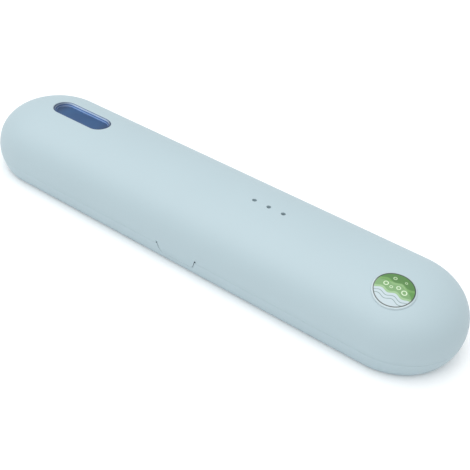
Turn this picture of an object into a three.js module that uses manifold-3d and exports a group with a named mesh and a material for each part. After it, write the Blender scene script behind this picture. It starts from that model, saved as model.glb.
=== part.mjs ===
// A UV toothbrush sterilizer case: a domed lid hinged along the back of a shallow base.
// The base holds a charging board, a battery and three UV lamps under a tray with two brush rests.
// Lengths are millimetres. X runs from the head end to the handle end, Y from the clasp at the
// front to the hinge at the back, and Z up from the flat underside.

import * as THREE from "three";
import { mergeVertices } from "three/addons/utils/BufferGeometryUtils.js";
import Module from "manifold-3d";

const wasm = await Module();
wasm.setup();

// Case outline: a stadium seen from above, widest at the belt line
const caseLength = 220;
const caseWidth = 52;
const caseHeight = 28;
const beltHeight = 10;
const seamHeight = 8.2;
const bottomTuck = 4;
const wall = 2;
const floorThickness = 2;

// Handles of the two curves of the cross-section, as shares of their height and width
const domeSideHandleShare = 0.88;
const domeTopHandleShare = 0.3;
const tuckBottomHandleShare = 0.35;
const tuckSideHandleShare = 0.45;

// Fits
const gap = 0.3;
const overrun = 1;
const lipHeight = 1.6;

// Front clasp: a springy tongue of the lid that snaps into the base
const claspX = 1.7;
const tongueTopWidth = 18.2;
const tongueBottomWidth = 15.6;
const tongueDrop = 3.8;
const tongueThickness = 1.2;
const tongueCorner = 1.6;
const reliefRise = 1;
const reliefTopWidth = 0.9;
const beadHeight = 1.2;
const beadDepth = 0.4;
const beadRise = 1.2;
const claspPadThickness = 1.6;
const claspPadMargin = 2.4;

// Back hinge
const hingeFromEnd = 68;
const hingeOutset = 1;
const barrelRadius = 2;
const pinRadius = 0.75;
const lidKnuckle = 8;
const baseKnuckle = 4;
const webReach = 4;
const webTiltDeg = 50;

// Window over the brush head
const windowFromHead = 37.8;
const windowY = 1.5;
const windowLength = 29.4;
const windowWidth = 10.6;
const windowRecess = 1.2;
const windowPadMargin = 3;
const windowPadDepth = 1;
const lensFlange = 1.8;
const lensFlangeThickness = 1;

// Vents
const ventX = 25.2;
const ventPitch = 6.6;
const ventCount = 3;
const ventRadius = 0.9;

// Round sticker at the handle end
const stickerFromHandle = 26.1;
const stickerFromFront = 15.9;
const stickerRadius = 8.1;
const stickerThickness = 0.6;

// Tray
const trayHeight = 7;
const trayThickness = 1.4;
const trayRimHeight = 0.8;
const trayRimWidth = 1.2;
const uvLensLength = 30;
const uvLensWidth = 11;
const uvLensThickness = 0.8;
const uvLensLedge = 1.5;

// Brush rests
const neckRestFromHead = 65;
const neckRestThickness = 6;
const neckRestWidth = 16;
const neckRestTop = 21.4;
const neckNotchRadius = 3.5;
const neckNotchHeight = 20;
const handleRestFromHandle = 70;
const handleRestThickness = 8;
const handleRestWidth = 24;
const handleRestTop = 15.8;
const handleNotchRadius = 7;
const handleNotchHeight = 17.3;
const restCorner = 1.5;
const restTenonThickness = 3;
const restTopShare = 0.84;
const restTenonShare = 0.6;

// Main board, and what stands on it at distances from its middle and its back edge
const boardFromHead = 43;
const boardLength = 34;
const boardWidth = 12.5;
const boardThickness = 0.8;
const boardBossHeight = 0.5;
const boardEdgeInset = 4.1;
const boardCorner = 1;
const portOffset = 7;
const portWidth = 8.94;
const portHeight = 3.2;
const portDepth = 7.2;
const portWall = 0.3;
const portCavity = 6;
const portTongueWidth = 6.7;
const portTongueThickness = 0.7;
const portTongueLength = 4.6;
const portRecess = 0.25;
const buttonOffset = -11;
const buttonWidth = 8;
const buttonHeight = 2.6;
const buttonProud = 0.5;
const buttonWing = 1.5;
const buttonWingThickness = 0.8;
const buttonWingHeight = 2;
const buttonTravel = 0.5;
const buttonPadInset = 3.8;
const buttonPadMargin = 1.2;
const switchWidth = 6;
const switchDepth = 4;
const switchHeight = 3.2;
const plungerRadius = 0.8;
const plungerLength = 2;
const plungerReach = 1;
const indicatorOffset = -2;
const pipeRadius = 1;
const pipeCollarRadius = 1.5;
const pipeCollarLength = 0.7;
const statusLedSize = { x: 3, y: 1.5, z: 3.2 };
const hallOffset = 14.5;
const hallFromBack = 2.4;
const hallSize = { x: 2.9, y: 1.3, z: 1 };
const chipOffset = -2.5;
const chipFromBack = 6.3;
const chipSize = { x: 5, y: 4.4, z: 1.4 };
const socketOffset = 11.8;
const socketFromBack = 9.5;
const socketSize = { x: 4, y: 4.6, z: 3 };
const plugSize = { x: 4, y: 4, z: 2.2 };

// UV lamps
const lampBoardLength = 30;
const lampBoardWidth = 9;
const lampBoardHeight = 4.2;
const lampPitch = 10;
const lampCount = 3;
const lampSize = { x: 3.5, y: 3.5, z: 1 };
const stakeBossRadius = 2;
const stakeRadius = 0.8;
const stakeHead = 0.5;

// Battery
const batteryX = 3;
const batterySize = { x: 36, y: 20, z: 4.2 };
const batteryCorner = 1.2;
const tapeThickness = 0.3;
const tapeMargin = 2;
const leadRadius = 0.45;
const leadSpacing = 2;
const leadBendShares = [0.15, 0.5, 0.85];

// Magnet in the lid, above the closing sensor
const magnetRadius = 2;
const magnetHeight = 2;
const magnetBlockWall = 1;

// Screws
const trayScrewFromEnd = 13;
const trayScrewFromSide = 7;
const trayScrew = { radius: 1, length: 5, headRadius: 2.1, headHeight: 1.2 };
const trayBossRadius = 2.9;
const boardScrew = { radius: 0.7, length: 2.2, headRadius: 1.4, headHeight: 0.9 };
const boardScrewSpacing = 21;
const boardScrewOffset = -4;
const boardScrewEdge = 2.2;
const boardBossRadius = 2;
const driveDepth = 0.6;
const driveWidth = 0.5;

// Facet counts
const endSteps = 20;
const domeSteps = 12;
const tuckSteps = 5;
const roundSteps = 24;
const cornerSteps = 5;
const leadSteps = 3;
const leadFacets = 8;

// Sizes worked out from those above
const endRadius = caseWidth / 2;
const endCentre = caseLength / 2 - endRadius;
const [headEnd, handleEnd] = [-caseLength / 2, caseLength / 2];
const hingeY = endRadius + hingeOutset;
const hingeStations = [headEnd + hingeFromEnd, handleEnd - hingeFromEnd];
const windowX = headEnd + windowFromHead;
const stickerX = handleEnd - stickerFromHandle;
const stickerY = stickerFromFront - endRadius;
const neckRestX = headEnd + neckRestFromHead;
const handleRestX = handleEnd - handleRestFromHandle;
const boardX = headEnd + boardFromHead;
const portX = boardX + portOffset;
const buttonX = boardX + buttonOffset;
const indicatorX = boardX + indicatorOffset;
const hallX = boardX + hallOffset;
const chipX = boardX + chipOffset;
const socketX = boardX + socketOffset;
const boardScrewX = boardX + boardScrewOffset;
const lampBoardX = windowX;
const lipTop = seamHeight + lipHeight;
const lapTop = lipTop + gap;
const boardTop = floorThickness + boardBossHeight + boardThickness;
const boardBackY = endRadius - boardEdgeInset;
const boardFrontY = boardBackY - boardWidth;
const hallY = boardBackY - hallFromBack;
const chipY = boardBackY - chipFromBack;
const socketY = boardBackY - socketFromBack;
const controlHeight = boardTop + portHeight / 2;
const deckTop = trayHeight + trayThickness;
const lampBoardTop = lampBoardHeight + boardThickness;
const tongueBottom = seamHeight - tongueDrop;

// Materials
const plastic = (color, roughness) =>
  new THREE.MeshStandardMaterial({ color, roughness, metalness: 0 });
const metal = (color, roughness) =>
  new THREE.MeshStandardMaterial({ color, roughness, metalness: 1 });
const clear = (color, opacity) =>
  new THREE.MeshStandardMaterial({ color, roughness: 0.1, transparent: true, opacity });

const finish = {
  paleBlueAbs: plastic(0xc9dce3, 0.45),
  whiteAbs: plastic(0xf2f4f3, 0.5),
  blueLens: clear(0x4a6c98, 0.85),
  clearLens: clear(0xe6f0f4, 0.5),
  stickerResin: plastic(0x8fb977, 0.2),
  silicone: plastic(0xdfe7ea, 0.8),
  circuitBoard: plastic(0x1f6b45, 0.5),
  lampBoard: plastic(0xf5f5f0, 0.4),
  lampCeramic: plastic(0xefe9c9, 0.35),
  blackPlastic: plastic(0x1c1d1f, 0.5),
  creamNylon: plastic(0xefe7d3, 0.5),
  batteryFoil: metal(0xb9bec4, 0.35),
  foamTape: plastic(0xe9e9e4, 0.9),
  redLead: plastic(0xb8322b, 0.5),
  blackLead: plastic(0x202124, 0.5),
  steel: metal(0xc4c7ca, 0.3),
};

// Solids from three.js geometry, and back again
function solidOf(geometry) {
  const bare = geometry.index ? geometry.toNonIndexed() : geometry.clone();
  bare.deleteAttribute("normal");
  bare.deleteAttribute("uv");
  const merged = mergeVertices(bare, 1e-4);
  const corners = merged.index.array;
  const kept = [];
  for (let i = 0; i < corners.length; i += 3) {
    const [a, b, c] = [corners[i], corners[i + 1], corners[i + 2]];
    if (a !== b && b !== c && c !== a) kept.push(a, b, c);
  }
  return new wasm.Manifold(
    new wasm.Mesh({
      numProp: 3,
      vertProperties: merged.attributes.position.array,
      triVerts: new Uint32Array(kept),
    }),
  );
}

function geometryOf(solid) {
  const mesh = solid.getMesh();
  const geometry = new THREE.BufferGeometry();
  geometry.setAttribute("position", new THREE.BufferAttribute(mesh.vertProperties, 3));
  geometry.setIndex(new THREE.BufferAttribute(mesh.triVerts, 1));
  const flat = geometry.toNonIndexed();
  flat.computeVertexNormals();
  return flat;
}

const join = (...solids) => solids.reduce((whole, next) => whole.add(next));
const cut = (solid, ...tools) => tools.reduce((left, tool) => left.subtract(tool), solid);

function mesh(name, material, shape) {
  const geometry = shape.isBufferGeometry ? shape : geometryOf(shape);
  const piece = new THREE.Mesh(geometry, material);
  piece.name = name;
  return piece;
}

// Outlines
const polygon = (points) => new THREE.Shape(points.map(([x, y]) => new THREE.Vector2(x, y)));

function arc(x, y, radius, fromDeg, toDeg) {
  const steps = Math.ceil((roundSteps * (toDeg - fromDeg)) / 360);
  return Array.from({ length: steps + 1 }, (_, i) => {
    const angle = THREE.MathUtils.degToRad(fromDeg + ((toDeg - fromDeg) * i) / steps);
    return [x + radius * Math.cos(angle), y + radius * Math.sin(angle)];
  });
}

function stadium(length, width, x = 0, y = 0) {
  const half = (length - width) / 2;
  return polygon([
    ...arc(x + half, y, width / 2, -90, 90),
    ...arc(x - half, y, width / 2, 90, 270),
  ]);
}

function roundedBox(length, width, corner, x = 0, y = 0) {
  const [a, b] = [length / 2 - corner, width / 2 - corner];
  return polygon([
    ...arc(x + a, y - b, corner, -90, 0),
    ...arc(x + a, y + b, corner, 0, 90),
    ...arc(x - a, y + b, corner, 90, 180),
    ...arc(x - a, y - b, corner, 180, 270),
  ]);
}

const disc = (radius, x = 0, y = 0) => polygon(arc(x, y, radius, 0, 360).slice(1));

// Prisms: an outline drawn in the two other axes, in X, Y, Z order, run from one place to another
const prismAxes = {
  x: [new THREE.Vector3(0, 1, 0), new THREE.Vector3(0, 0, 1), new THREE.Vector3(1, 0, 0)],
  y: [new THREE.Vector3(1, 0, 0), new THREE.Vector3(0, 0, 1), new THREE.Vector3(0, -1, 0)],
  z: [new THREE.Vector3(1, 0, 0), new THREE.Vector3(0, 1, 0), new THREE.Vector3(0, 0, 1)],
};

function prism(axis, shape, from, to) {
  const depth = to - from;
  const geometry = new THREE.ExtrudeGeometry(shape, {
    depth,
    curveSegments: cornerSteps,
    bevelEnabled: false,
  });
  geometry.applyMatrix4(new THREE.Matrix4().makeBasis(...prismAxes[axis]));
  const start = { x: [from, 0, 0], y: [0, to, 0], z: [0, 0, from] }[axis];
  return solidOf(geometry.translate(...start));
}

function box(x0, x1, y0, y1, z0, z1) {
  const geometry = new THREE.BoxGeometry(x1 - x0, y1 - y0, z1 - z0);
  return solidOf(geometry.translate((x0 + x1) / 2, (y0 + y1) / 2, (z0 + z1) / 2));
}

const blockGeometry = (size) => new THREE.BoxGeometry(size.x, size.y, size.z);

// Cross-section of the case: how far a surface lies inside the outline at each height.
// A depth moves the curve that far inside the outer skin.
function tuckCurve() {
  return new THREE.CubicBezierCurve(
    new THREE.Vector2(bottomTuck, 0),
    new THREE.Vector2(bottomTuck * (1 - tuckBottomHandleShare), 0),
    new THREE.Vector2(0, beltHeight * (1 - tuckSideHandleShare)),
    new THREE.Vector2(0, beltHeight),
  );
}

function domeCurve(depth) {
  const rise = caseHeight - beltHeight - depth;
  const reach = endRadius - depth;
  return new THREE.CubicBezierCurve(
    new THREE.Vector2(depth, beltHeight),
    new THREE.Vector2(depth, beltHeight + rise * domeSideHandleShare),
    new THREE.Vector2(endRadius - reach * domeTopHandleShare, beltHeight + rise),
    new THREE.Vector2(endRadius, beltHeight + rise),
  );
}

// The share of a rising curve's run at which its inset (x) or its height (y) reaches a value
function runAt(curve, axis, value) {
  const halvings = 40;
  let [low, high] = [0, 1];
  for (let i = 0; i < halvings; i += 1) {
    const middle = (low + high) / 2;
    if (curve.getPoint(middle)[axis] < value) low = middle;
    else high = middle;
  }
  return (low + high) / 2;
}

const insetAt = (curve, height) => curve.getPoint(runAt(curve, "y", height)).x;

function sectionPoints(curve, fromHeight, toHeight, steps, depth = 0) {
  const [from, to] = [runAt(curve, "y", fromHeight), runAt(curve, "y", toHeight)];
  return Array.from({ length: steps + 1 }, (_, i) => {
    const point = curve.getPoint(from + ((to - from) * i) / steps);
    return [point.x + depth, point.y];
  });
}

const tuck = tuckCurve();
const seamInset = insetAt(tuck, seamHeight);
const skirtInset = seamInset + (wall - gap) / 2;

// A section of insets and heights carried round the stadium outline.
// It runs up the outside and down the inside, and may start and end on the middle line.
function aroundCase(section) {
  const ring = ([inset, height]) => {
    const radius = endRadius - inset;
    const points = [];
    for (const side of [1, -1]) {
      for (let i = 0; i <= endSteps; i += 1) {
        const angle = (side > 0 ? -Math.PI / 2 : Math.PI / 2) + (Math.PI * i) / endSteps;
        points.push([
          side * endCentre + radius * Math.cos(angle),
          radius * Math.sin(angle),
          height,
        ]);
      }
    }
    return points;
  };
  const rings = section.map(ring);
  const closed = section[0][0] < endRadius;
  const positions = [];
  const last = closed ? rings.length : rings.length - 1;
  for (let i = 0; i < last; i += 1) {
    const [low, high] = [rings[i], rings[(i + 1) % rings.length]];
    for (let j = 0; j < low.length; j += 1) {
      const k = (j + 1) % low.length;
      positions.push(...low[j], ...low[k], ...high[k], ...low[j], ...high[k], ...high[j]);
    }
  }
  const geometry = new THREE.BufferGeometry();
  geometry.setAttribute("position", new THREE.Float32BufferAttribute(positions, 3));
  return solidOf(geometry);
}

// Clasp outlines, seen from the front. The spread widens them on every side.
function tongueEdge(height) {
  const share = (height - tongueBottom) / (seamHeight + reliefRise - tongueBottom);
  return (tongueBottomWidth + (tongueTopWidth - tongueBottomWidth) * share) / 2;
}

function tongueOutline(top, spread) {
  const low = tongueBottom - spread;
  const corner = tongueCorner + spread;
  const [lowEdge, topEdge] = [tongueEdge(low) + spread, tongueEdge(top) + spread];
  const shape = new THREE.Shape();
  shape.moveTo(claspX + topEdge, top);
  shape.lineTo(claspX - topEdge, top);
  shape.lineTo(claspX - tongueEdge(low + corner) - spread, low + corner);
  shape.quadraticCurveTo(claspX - lowEdge, low, claspX - lowEdge + corner, low);
  shape.lineTo(claspX + lowEdge - corner, low);
  shape.quadraticCurveTo(claspX + lowEdge, low, claspX + tongueEdge(low + corner) + spread, low + corner);
  shape.closePath();
  return shape;
}

// A front section point, from how far it lies inside the outline
const frontY = (inset) => inset - endRadius;

function tongue() {
  const root = lapTop + tongueThickness;
  const beadMiddle = tongueBottom + beadRise;
  const inner = tongueThickness + seamInset;
  const skin = sectionPoints(tuck, tongueBottom, seamHeight, tuckSteps);
  const points = [
    ...skin.map(([inset, height]) => [frontY(inset), height]),
    [frontY(seamInset + gap), seamHeight],
    [frontY(seamInset + gap), root],
    [frontY(inner), root],
    [frontY(inner), beadMiddle + beadHeight / 2],
    [frontY(inner + beadDepth), beadMiddle],
    [frontY(insetAt(tuck, tongueBottom) + tongueThickness), tongueBottom],
  ];
  const band = prism("x", polygon(points), claspX - tongueTopWidth, claspX + tongueTopWidth);
  const outline = prism("y", tongueOutline(root, 0), frontY(-overrun), frontY(wall + claspPadThickness));
  return band.intersect(outline);
}

function reliefSlits() {
  const top = seamHeight + reliefRise;
  const low = seamHeight - overrun;
  return [1, -1].map((side) => {
    const shape = polygon([
      [claspX + side * tongueEdge(low), low],
      [claspX + side * (tongueEdge(low) + gap), low],
      [claspX + side * (tongueEdge(top) + reliefTopWidth), top],
      [claspX + side * tongueEdge(top), top],
    ]);
    return prism("y", shape, frontY(-overrun), frontY(wall + overrun));
  });
}

// The hollow in the base that the tongue and its bead lie in
function claspNotch() {
  const top = lipTop + overrun;
  const low = tongueBottom - gap;
  const floor = seamInset + tongueThickness + gap;
  const beadMiddle = tongueBottom + beadRise;
  const grooveHalf = beadHeight / 2 + gap;
  const points = [
    [frontY(-overrun), low],
    [frontY(-overrun), top],
    [frontY(floor), top],
    [frontY(floor), beadMiddle + grooveHalf],
    [frontY(floor + beadDepth), beadMiddle + gap],
    [frontY(floor + beadDepth), beadMiddle - gap],
    [frontY(insetAt(tuck, low) + tongueThickness + gap), low],
  ];
  const band = prism("x", polygon(points), claspX - tongueTopWidth, claspX + tongueTopWidth);
  const deep = frontY(wall + claspPadThickness + overrun);
  return band.intersect(prism("y", tongueOutline(top, gap), frontY(-overrun), deep));
}

// Thickening on the inside of a base wall, with its back face this far inside the outline.
// The front wall is side -1 and the back wall is side 1.
function wallPad(side, middle, halfWidth, faceInset, top) {
  const root = sectionPoints(tuck, floorThickness / 2, top, tuckSteps, wall / 4);
  const points = [
    ...root,
    [faceInset, top],
    [faceInset, floorThickness],
    [bottomTuck + wall, floorThickness / 2],
  ].map(([inset, height]) => [side * (endRadius - inset), height]);
  return prism("x", polygon(points), middle - halfWidth, middle + halfWidth);
}

const claspPadInset = seamInset + tongueThickness + gap + claspPadThickness;
const claspPadHalf = tongueTopWidth / 2 + claspPadMargin;

// Hinge: at each station a lid knuckle turns between two base knuckles
const knuckleOffset = lidKnuckle / 2 + gap + baseKnuckle / 2;

function barrel(radius, middle, length) {
  return prism("x", disc(radius, hingeY, seamHeight), middle - length / 2, middle + length / 2);
}

// A knuckle with the web that carries it, which runs up the lid (side 1) or down the base (side -1)
function knuckle(side, middle, length) {
  const tilt = THREE.MathUtils.degToRad(webTiltDeg);
  const rootHeight = seamHeight + side * webReach;
  const rootInset = (side > 0 ? 0 : insetAt(tuck, rootHeight)) + wall / 2;
  const web = polygon([
    [endRadius - rootInset, rootHeight],
    [hingeY + barrelRadius * Math.cos(tilt), seamHeight + side * barrelRadius * Math.sin(tilt)],
    [hingeY, seamHeight],
    [endRadius - wall / 2 + seamInset, seamHeight],
  ]);
  return join(
    barrel(barrelRadius, middle, length),
    prism("x", web, middle - length / 2, middle + length / 2),
  );
}

function hingeCuts(knuckleLength, offsets) {
  return hingeStations.flatMap((x) =>
    offsets.map((offset) => barrel(barrelRadius + gap, x + offset, knuckleLength + 2 * gap)),
  );
}

const pinBores = () =>
  hingeStations.map((x) => barrel(pinRadius + gap, x, 2 * (knuckleOffset + baseKnuckle)));

// Bosses stand on the base floor, each with a blind hole for its screw
function boss(x, y, radius, top, holeRadius, holeBottom) {
  const post = prism("z", disc(radius, x, y), floorThickness / 2, top);
  const hole = prism("z", disc(holeRadius, x, y), holeBottom, top + overrun);
  return { post, hole };
}

const trayScrewPlaces = [
  ["tray_screw_head_end", headEnd + trayScrewFromEnd, 0],
  ["tray_screw_handle_end", handleEnd - trayScrewFromEnd, 0],
  ["tray_screw_front", claspX, frontY(trayScrewFromSide + claspPadThickness)],
  ["tray_screw_back", claspX, endRadius - trayScrewFromSide],
];

const boardScrewPlaces = [
  ["board_screw_left", boardScrewX - boardScrewSpacing / 2],
  ["board_screw_right", boardScrewX + boardScrewSpacing / 2],
].map(([name, x]) => [name, x, boardFrontY + boardScrewEdge]);

const lampPlaces = Array.from(
  { length: lampCount },
  (_, i) => lampBoardX + (i - (lampCount - 1) / 2) * lampPitch,
);
const stakePlaces = lampPlaces.slice(1).map((x) => x - lampPitch / 2);

// Base shell
function baseShell() {
  const inside = sectionPoints(tuck, floorThickness, seamHeight, tuckSteps, wall).reverse();
  const shell = aroundCase([
    [endRadius, 0],
    ...sectionPoints(tuck, 0, seamHeight, tuckSteps),
    [skirtInset + gap, seamHeight],
    [skirtInset + gap, lipTop],
    [seamInset + wall, lipTop],
    ...inside,
    [endRadius, floorThickness],
  ]);
  const trayBosses = trayScrewPlaces.map(([, x, y]) =>
    boss(x, y, trayBossRadius, trayHeight, trayScrew.radius + gap, floorThickness + gap),
  );
  const boardBosses = boardScrewPlaces.map(([, x, y]) =>
    boss(x, y, boardBossRadius, boardTop - boardThickness, boardScrew.radius + gap, floorThickness / 2),
  );
  const stakes = stakePlaces.flatMap((x) => [
    prism("z", disc(stakeBossRadius, x, 0), floorThickness / 2, lampBoardHeight),
    prism("z", disc(stakeRadius, x, 0), lampBoardHeight - gap, lampBoardTop + stakeHead),
  ]);
  const bosses = [...trayBosses, ...boardBosses];
  const knuckles = hingeStations.flatMap((x) => [
    knuckle(-1, x - knuckleOffset, baseKnuckle),
    knuckle(-1, x + knuckleOffset, baseKnuckle),
  ]);
  const solid = join(
    shell,
    wallPad(-1, claspX, claspPadHalf, claspPadInset, seamHeight),
    wallPad(1, buttonX, buttonWidth / 2 + buttonPadMargin + buttonWing, buttonPadInset, trayHeight - gap),
    ...bosses.map(({ post }) => post),
    ...stakes,
    ...knuckles,
  );
  const through = [boardBackY, endRadius + overrun];
  return cut(
    solid,
    ...bosses.map(({ hole }) => hole),
    claspNotch(),
    ...hingeCuts(lidKnuckle, [0]),
    ...pinBores(),
    prism("y", stadium(portWidth + 2 * gap, portHeight + 2 * gap, portX, controlHeight), ...through),
    prism("y", stadium(buttonWidth + 2 * gap, buttonHeight + 2 * gap, buttonX, controlHeight), ...through),
    prism("y", disc(pipeRadius + gap, indicatorX, controlHeight), ...through),
  );
}

// Lid shell
function lidShell() {
  const shell = aroundCase([
    ...sectionPoints(domeCurve(wall), lapTop, caseHeight, domeSteps).reverse(),
    [skirtInset, lapTop],
    [skirtInset, seamHeight],
    ...sectionPoints(tuck, seamHeight, beltHeight, 2),
    ...sectionPoints(domeCurve(0), beltHeight, caseHeight, domeSteps).slice(1),
  ]);
  const padLow = caseHeight - wall - windowPadDepth;
  const margin = 2 * windowPadMargin;
  const windowPad = prism(
    "z",
    stadium(windowLength + margin, windowWidth + margin, windowX, windowY),
    padLow,
    caseHeight - wall + gap,
  );
  const knuckles = hingeStations.map((x) => knuckle(1, x, lidKnuckle));
  const blockHalf = magnetRadius + gap + magnetBlockWall;
  const magnetBlock = box(
    hallX - blockHalf,
    hallX + blockHalf,
    hallY - blockHalf,
    endRadius - wall / 2,
    lapTop,
    lapTop + magnetHeight + magnetBlockWall,
  );
  const vents = Array.from({ length: ventCount }, (_, i) =>
    prism(
      "z",
      disc(ventRadius, ventX + (i - (ventCount - 1) / 2) * ventPitch, 0),
      caseHeight - 2 * wall,
      caseHeight + overrun),
  );
  return cut(
    join(shell, tongue(), windowPad, magnetBlock, ...knuckles),
    prism(
      "z",
      stadium(windowLength, windowWidth, windowX, windowY),
      padLow - overrun,
      caseHeight + overrun,
    ),
    prism("z", disc(magnetRadius + gap, hallX, hallY), lapTop - overrun, lapTop + magnetHeight),
    ...vents,
    ...reliefSlits(),
    ...hingeCuts(baseKnuckle, [-knuckleOffset, knuckleOffset]),
    ...pinBores(),
  );
}

function windowLens() {
  const low = caseHeight - wall - windowPadDepth - lensFlangeThickness;
  const body = stadium(windowLength - 2 * gap, windowWidth - 2 * gap);
  const flange = stadium(windowLength + 2 * lensFlange, windowWidth + 2 * lensFlange);
  const lens = join(
    prism("z", body, low, caseHeight - windowRecess),
    prism("z", flange, low, low + lensFlangeThickness),
  );
  const piece = mesh("window_lens", finish.blueLens, lens);
  piece.position.set(windowX, windowY, 0);
  return piece;
}

// The sticker follows the dome: a disc cut from a thin layer that lies over it
function sticker() {
  const run = runAt(domeCurve(0), "x", endRadius - Math.abs(stickerY));
  const middle = domeCurve(0).getPoint(run);
  const tangent = domeCurve(0).getTangent(run);
  const normal = new THREE.Vector3(0, Math.sign(stickerY) * tangent.y, tangent.x).normalize();
  const top = gap + stickerThickness;
  const layer = aroundCase([
    ...sectionPoints(domeCurve(-gap), beltHeight, caseHeight + gap, domeSteps).reverse(),
    ...sectionPoints(domeCurve(-top), beltHeight, caseHeight + top, domeSteps),
  ]);
  const punch = new THREE.CylinderGeometry(
    stickerRadius,
    stickerRadius,
    2 * stickerRadius,
    2 * roundSteps,
  );
  punch.applyQuaternion(
    new THREE.Quaternion().setFromUnitVectors(new THREE.Vector3(0, 1, 0), normal),
  );
  punch.translate(stickerX, stickerY, middle.y);
  return layer.intersect(solidOf(punch));
}

// Tray: a shallow dish over the electronics, with an opening for the lamps
const trayInset = insetAt(tuck, trayHeight) + wall + gap;

function tray() {
  const rimTop = deckTop + trayRimHeight;
  const dish = aroundCase([
    [endRadius, trayHeight],
    [trayInset, trayHeight],
    [trayInset, rimTop],
    [trayInset + trayRimWidth, rimTop],
    [trayInset + trayRimWidth + trayRimHeight / 2, deckTop],
    [endRadius, deckTop],
  ]);
  const [below, above] = [trayHeight - overrun, deckTop + overrun];
  const screwHoles = trayScrewPlaces.map(([, x, y]) =>
    prism("z", disc(trayScrew.radius + gap, x, y), below, above),
  );
  const slots = restList.map(({ x, width }) =>
    prism("z", tenonOutline(width, gap), below, above).translate(x, 0, 0),
  );
  const lensHole = roundedBox(uvLensLength + 2 * gap, uvLensWidth + 2 * gap, restCorner, lampBoardX);
  const lampHole = roundedBox(
    uvLensLength - 2 * uvLensLedge,
    uvLensWidth - 2 * uvLensLedge,
    restCorner,
    lampBoardX,
  );
  return cut(
    dish,
    ...screwHoles,
    ...slots,
    prism("z", lensHole, deckTop - uvLensThickness, above),
    prism("z", lampHole, below, above),
    box(
      claspX - claspPadHalf - gap,
      claspX + claspPadHalf + gap,
      frontY(-overrun),
      frontY(claspPadInset + gap),
      below,
      rimTop + overrun,
    ),
  );
}

// Brush rests: soft blocks with a round notch, held by a tenon through the tray
const restList = [
  {
    name: "neck_rest",
    x: neckRestX,
    thickness: neckRestThickness,
    width: neckRestWidth,
    top: neckRestTop,
    notchRadius: neckNotchRadius,
    notchHeight: neckNotchHeight,
  },
  {
    name: "handle_rest",
    x: handleRestX,
    thickness: handleRestThickness,
    width: handleRestWidth,
    top: handleRestTop,
    notchRadius: handleNotchRadius,
    notchHeight: handleNotchHeight,
  },
];

function tenonOutline(width, spread) {
  return roundedBox(
    restTenonThickness + 2 * spread,
    width * restTenonShare + 2 * spread,
    restTenonThickness / 4,
  );
}

function brushRest({ name, x, thickness, width, top, notchRadius, notchHeight }) {
  const [low, high] = [width / 2, (width / 2) * restTopShare];
  const shape = new THREE.Shape();
  shape.moveTo(-low, deckTop);
  shape.lineTo(low, deckTop);
  shape.lineTo(high, top - restCorner);
  shape.quadraticCurveTo(high, top, high - restCorner, top);
  shape.lineTo(-high + restCorner, top);
  shape.quadraticCurveTo(-high, top, -high, top - restCorner);
  shape.closePath();
  const block = prism("x", shape, -thickness / 2, thickness / 2);
  const notch = prism("x", disc(notchRadius, 0, notchHeight), -thickness, thickness);
  const above = box(-thickness, thickness, -notchRadius, notchRadius, notchHeight, top + notchRadius);
  const tenon = prism("z", tenonOutline(width, 0), trayHeight, deckTop + gap);
  const opened = top > notchHeight ? cut(block, notch, above) : cut(block, notch);
  const piece = mesh(name, finish.silicone, join(opened, tenon));
  piece.position.x = x;
  return piece;
}

// Boards
function mainBoard() {
  const outline = roundedBox(boardLength, boardWidth, boardCorner);
  const plate = prism("z", outline, 0, boardThickness);
  const centreY = boardBackY - boardWidth / 2;
  const holes = boardScrewPlaces.map(([, x, y]) =>
    prism(
      "z",
      disc(boardScrew.radius + gap, x - boardX, y - centreY),
      -overrun,
      boardThickness + overrun),
  );
  const piece = mesh("main_board", finish.circuitBoard, cut(plate, ...holes));
  piece.position.set(boardX, centreY, boardTop - boardThickness);
  return piece;
}

function lampBoard() {
  const outline = roundedBox(lampBoardLength, lampBoardWidth, boardCorner);
  const plate = prism("z", outline, 0, boardThickness);
  const holes = stakePlaces.map((x) =>
    prism(
      "z",
      disc(stakeRadius + gap, x - lampBoardX),
      -overrun,
      boardThickness + overrun),
  );
  const piece = mesh("uv_lamp_board", finish.lampBoard, cut(plate, ...holes));
  piece.position.set(lampBoardX, 0, lampBoardHeight);
  return piece;
}

function lamps() {
  return lampPlaces.map((x, i) => {
    const chip = mesh("uv_lamp_" + (i + 1), finish.lampCeramic, blockGeometry(lampSize));
    chip.position.set(x, 0, lampBoardTop + lampSize.z / 2);
    return chip;
  });
}

// A block that stands on the main board
function onBoard(name, material, size, x, y) {
  const piece = mesh(name, material, blockGeometry(size));
  piece.position.set(x, y, boardTop + size.z / 2);
  return piece;
}

// Charging port: a thin round-ended sleeve with a contact tongue inside
function usbPort() {
  const inner = stadium(portWidth - 2 * portWall, portHeight - 2 * portWall);
  const sleeve = cut(
    prism("y", stadium(portWidth, portHeight), -portDepth, 0),
    prism("y", inner, -portCavity, overrun),
  );
  const contact = box(
    -portTongueWidth / 2,
    portTongueWidth / 2,
    -portCavity - portWall,
    -portCavity + portTongueLength,
    -portTongueThickness / 2,
    portTongueThickness / 2,
  );
  const piece = mesh("usb_port", finish.steel, join(sleeve, contact));
  piece.position.set(portX, skinY(controlHeight) - portRecess, controlHeight);
  return piece;
}

// The outer skin of the back wall at a height
function skinY(height) {
  return endRadius - insetAt(tuck, height);
}

// Power button: an oval cap that follows the wall, with wings behind it that keep it in
const wingY = endRadius - buttonPadInset - gap;

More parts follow.
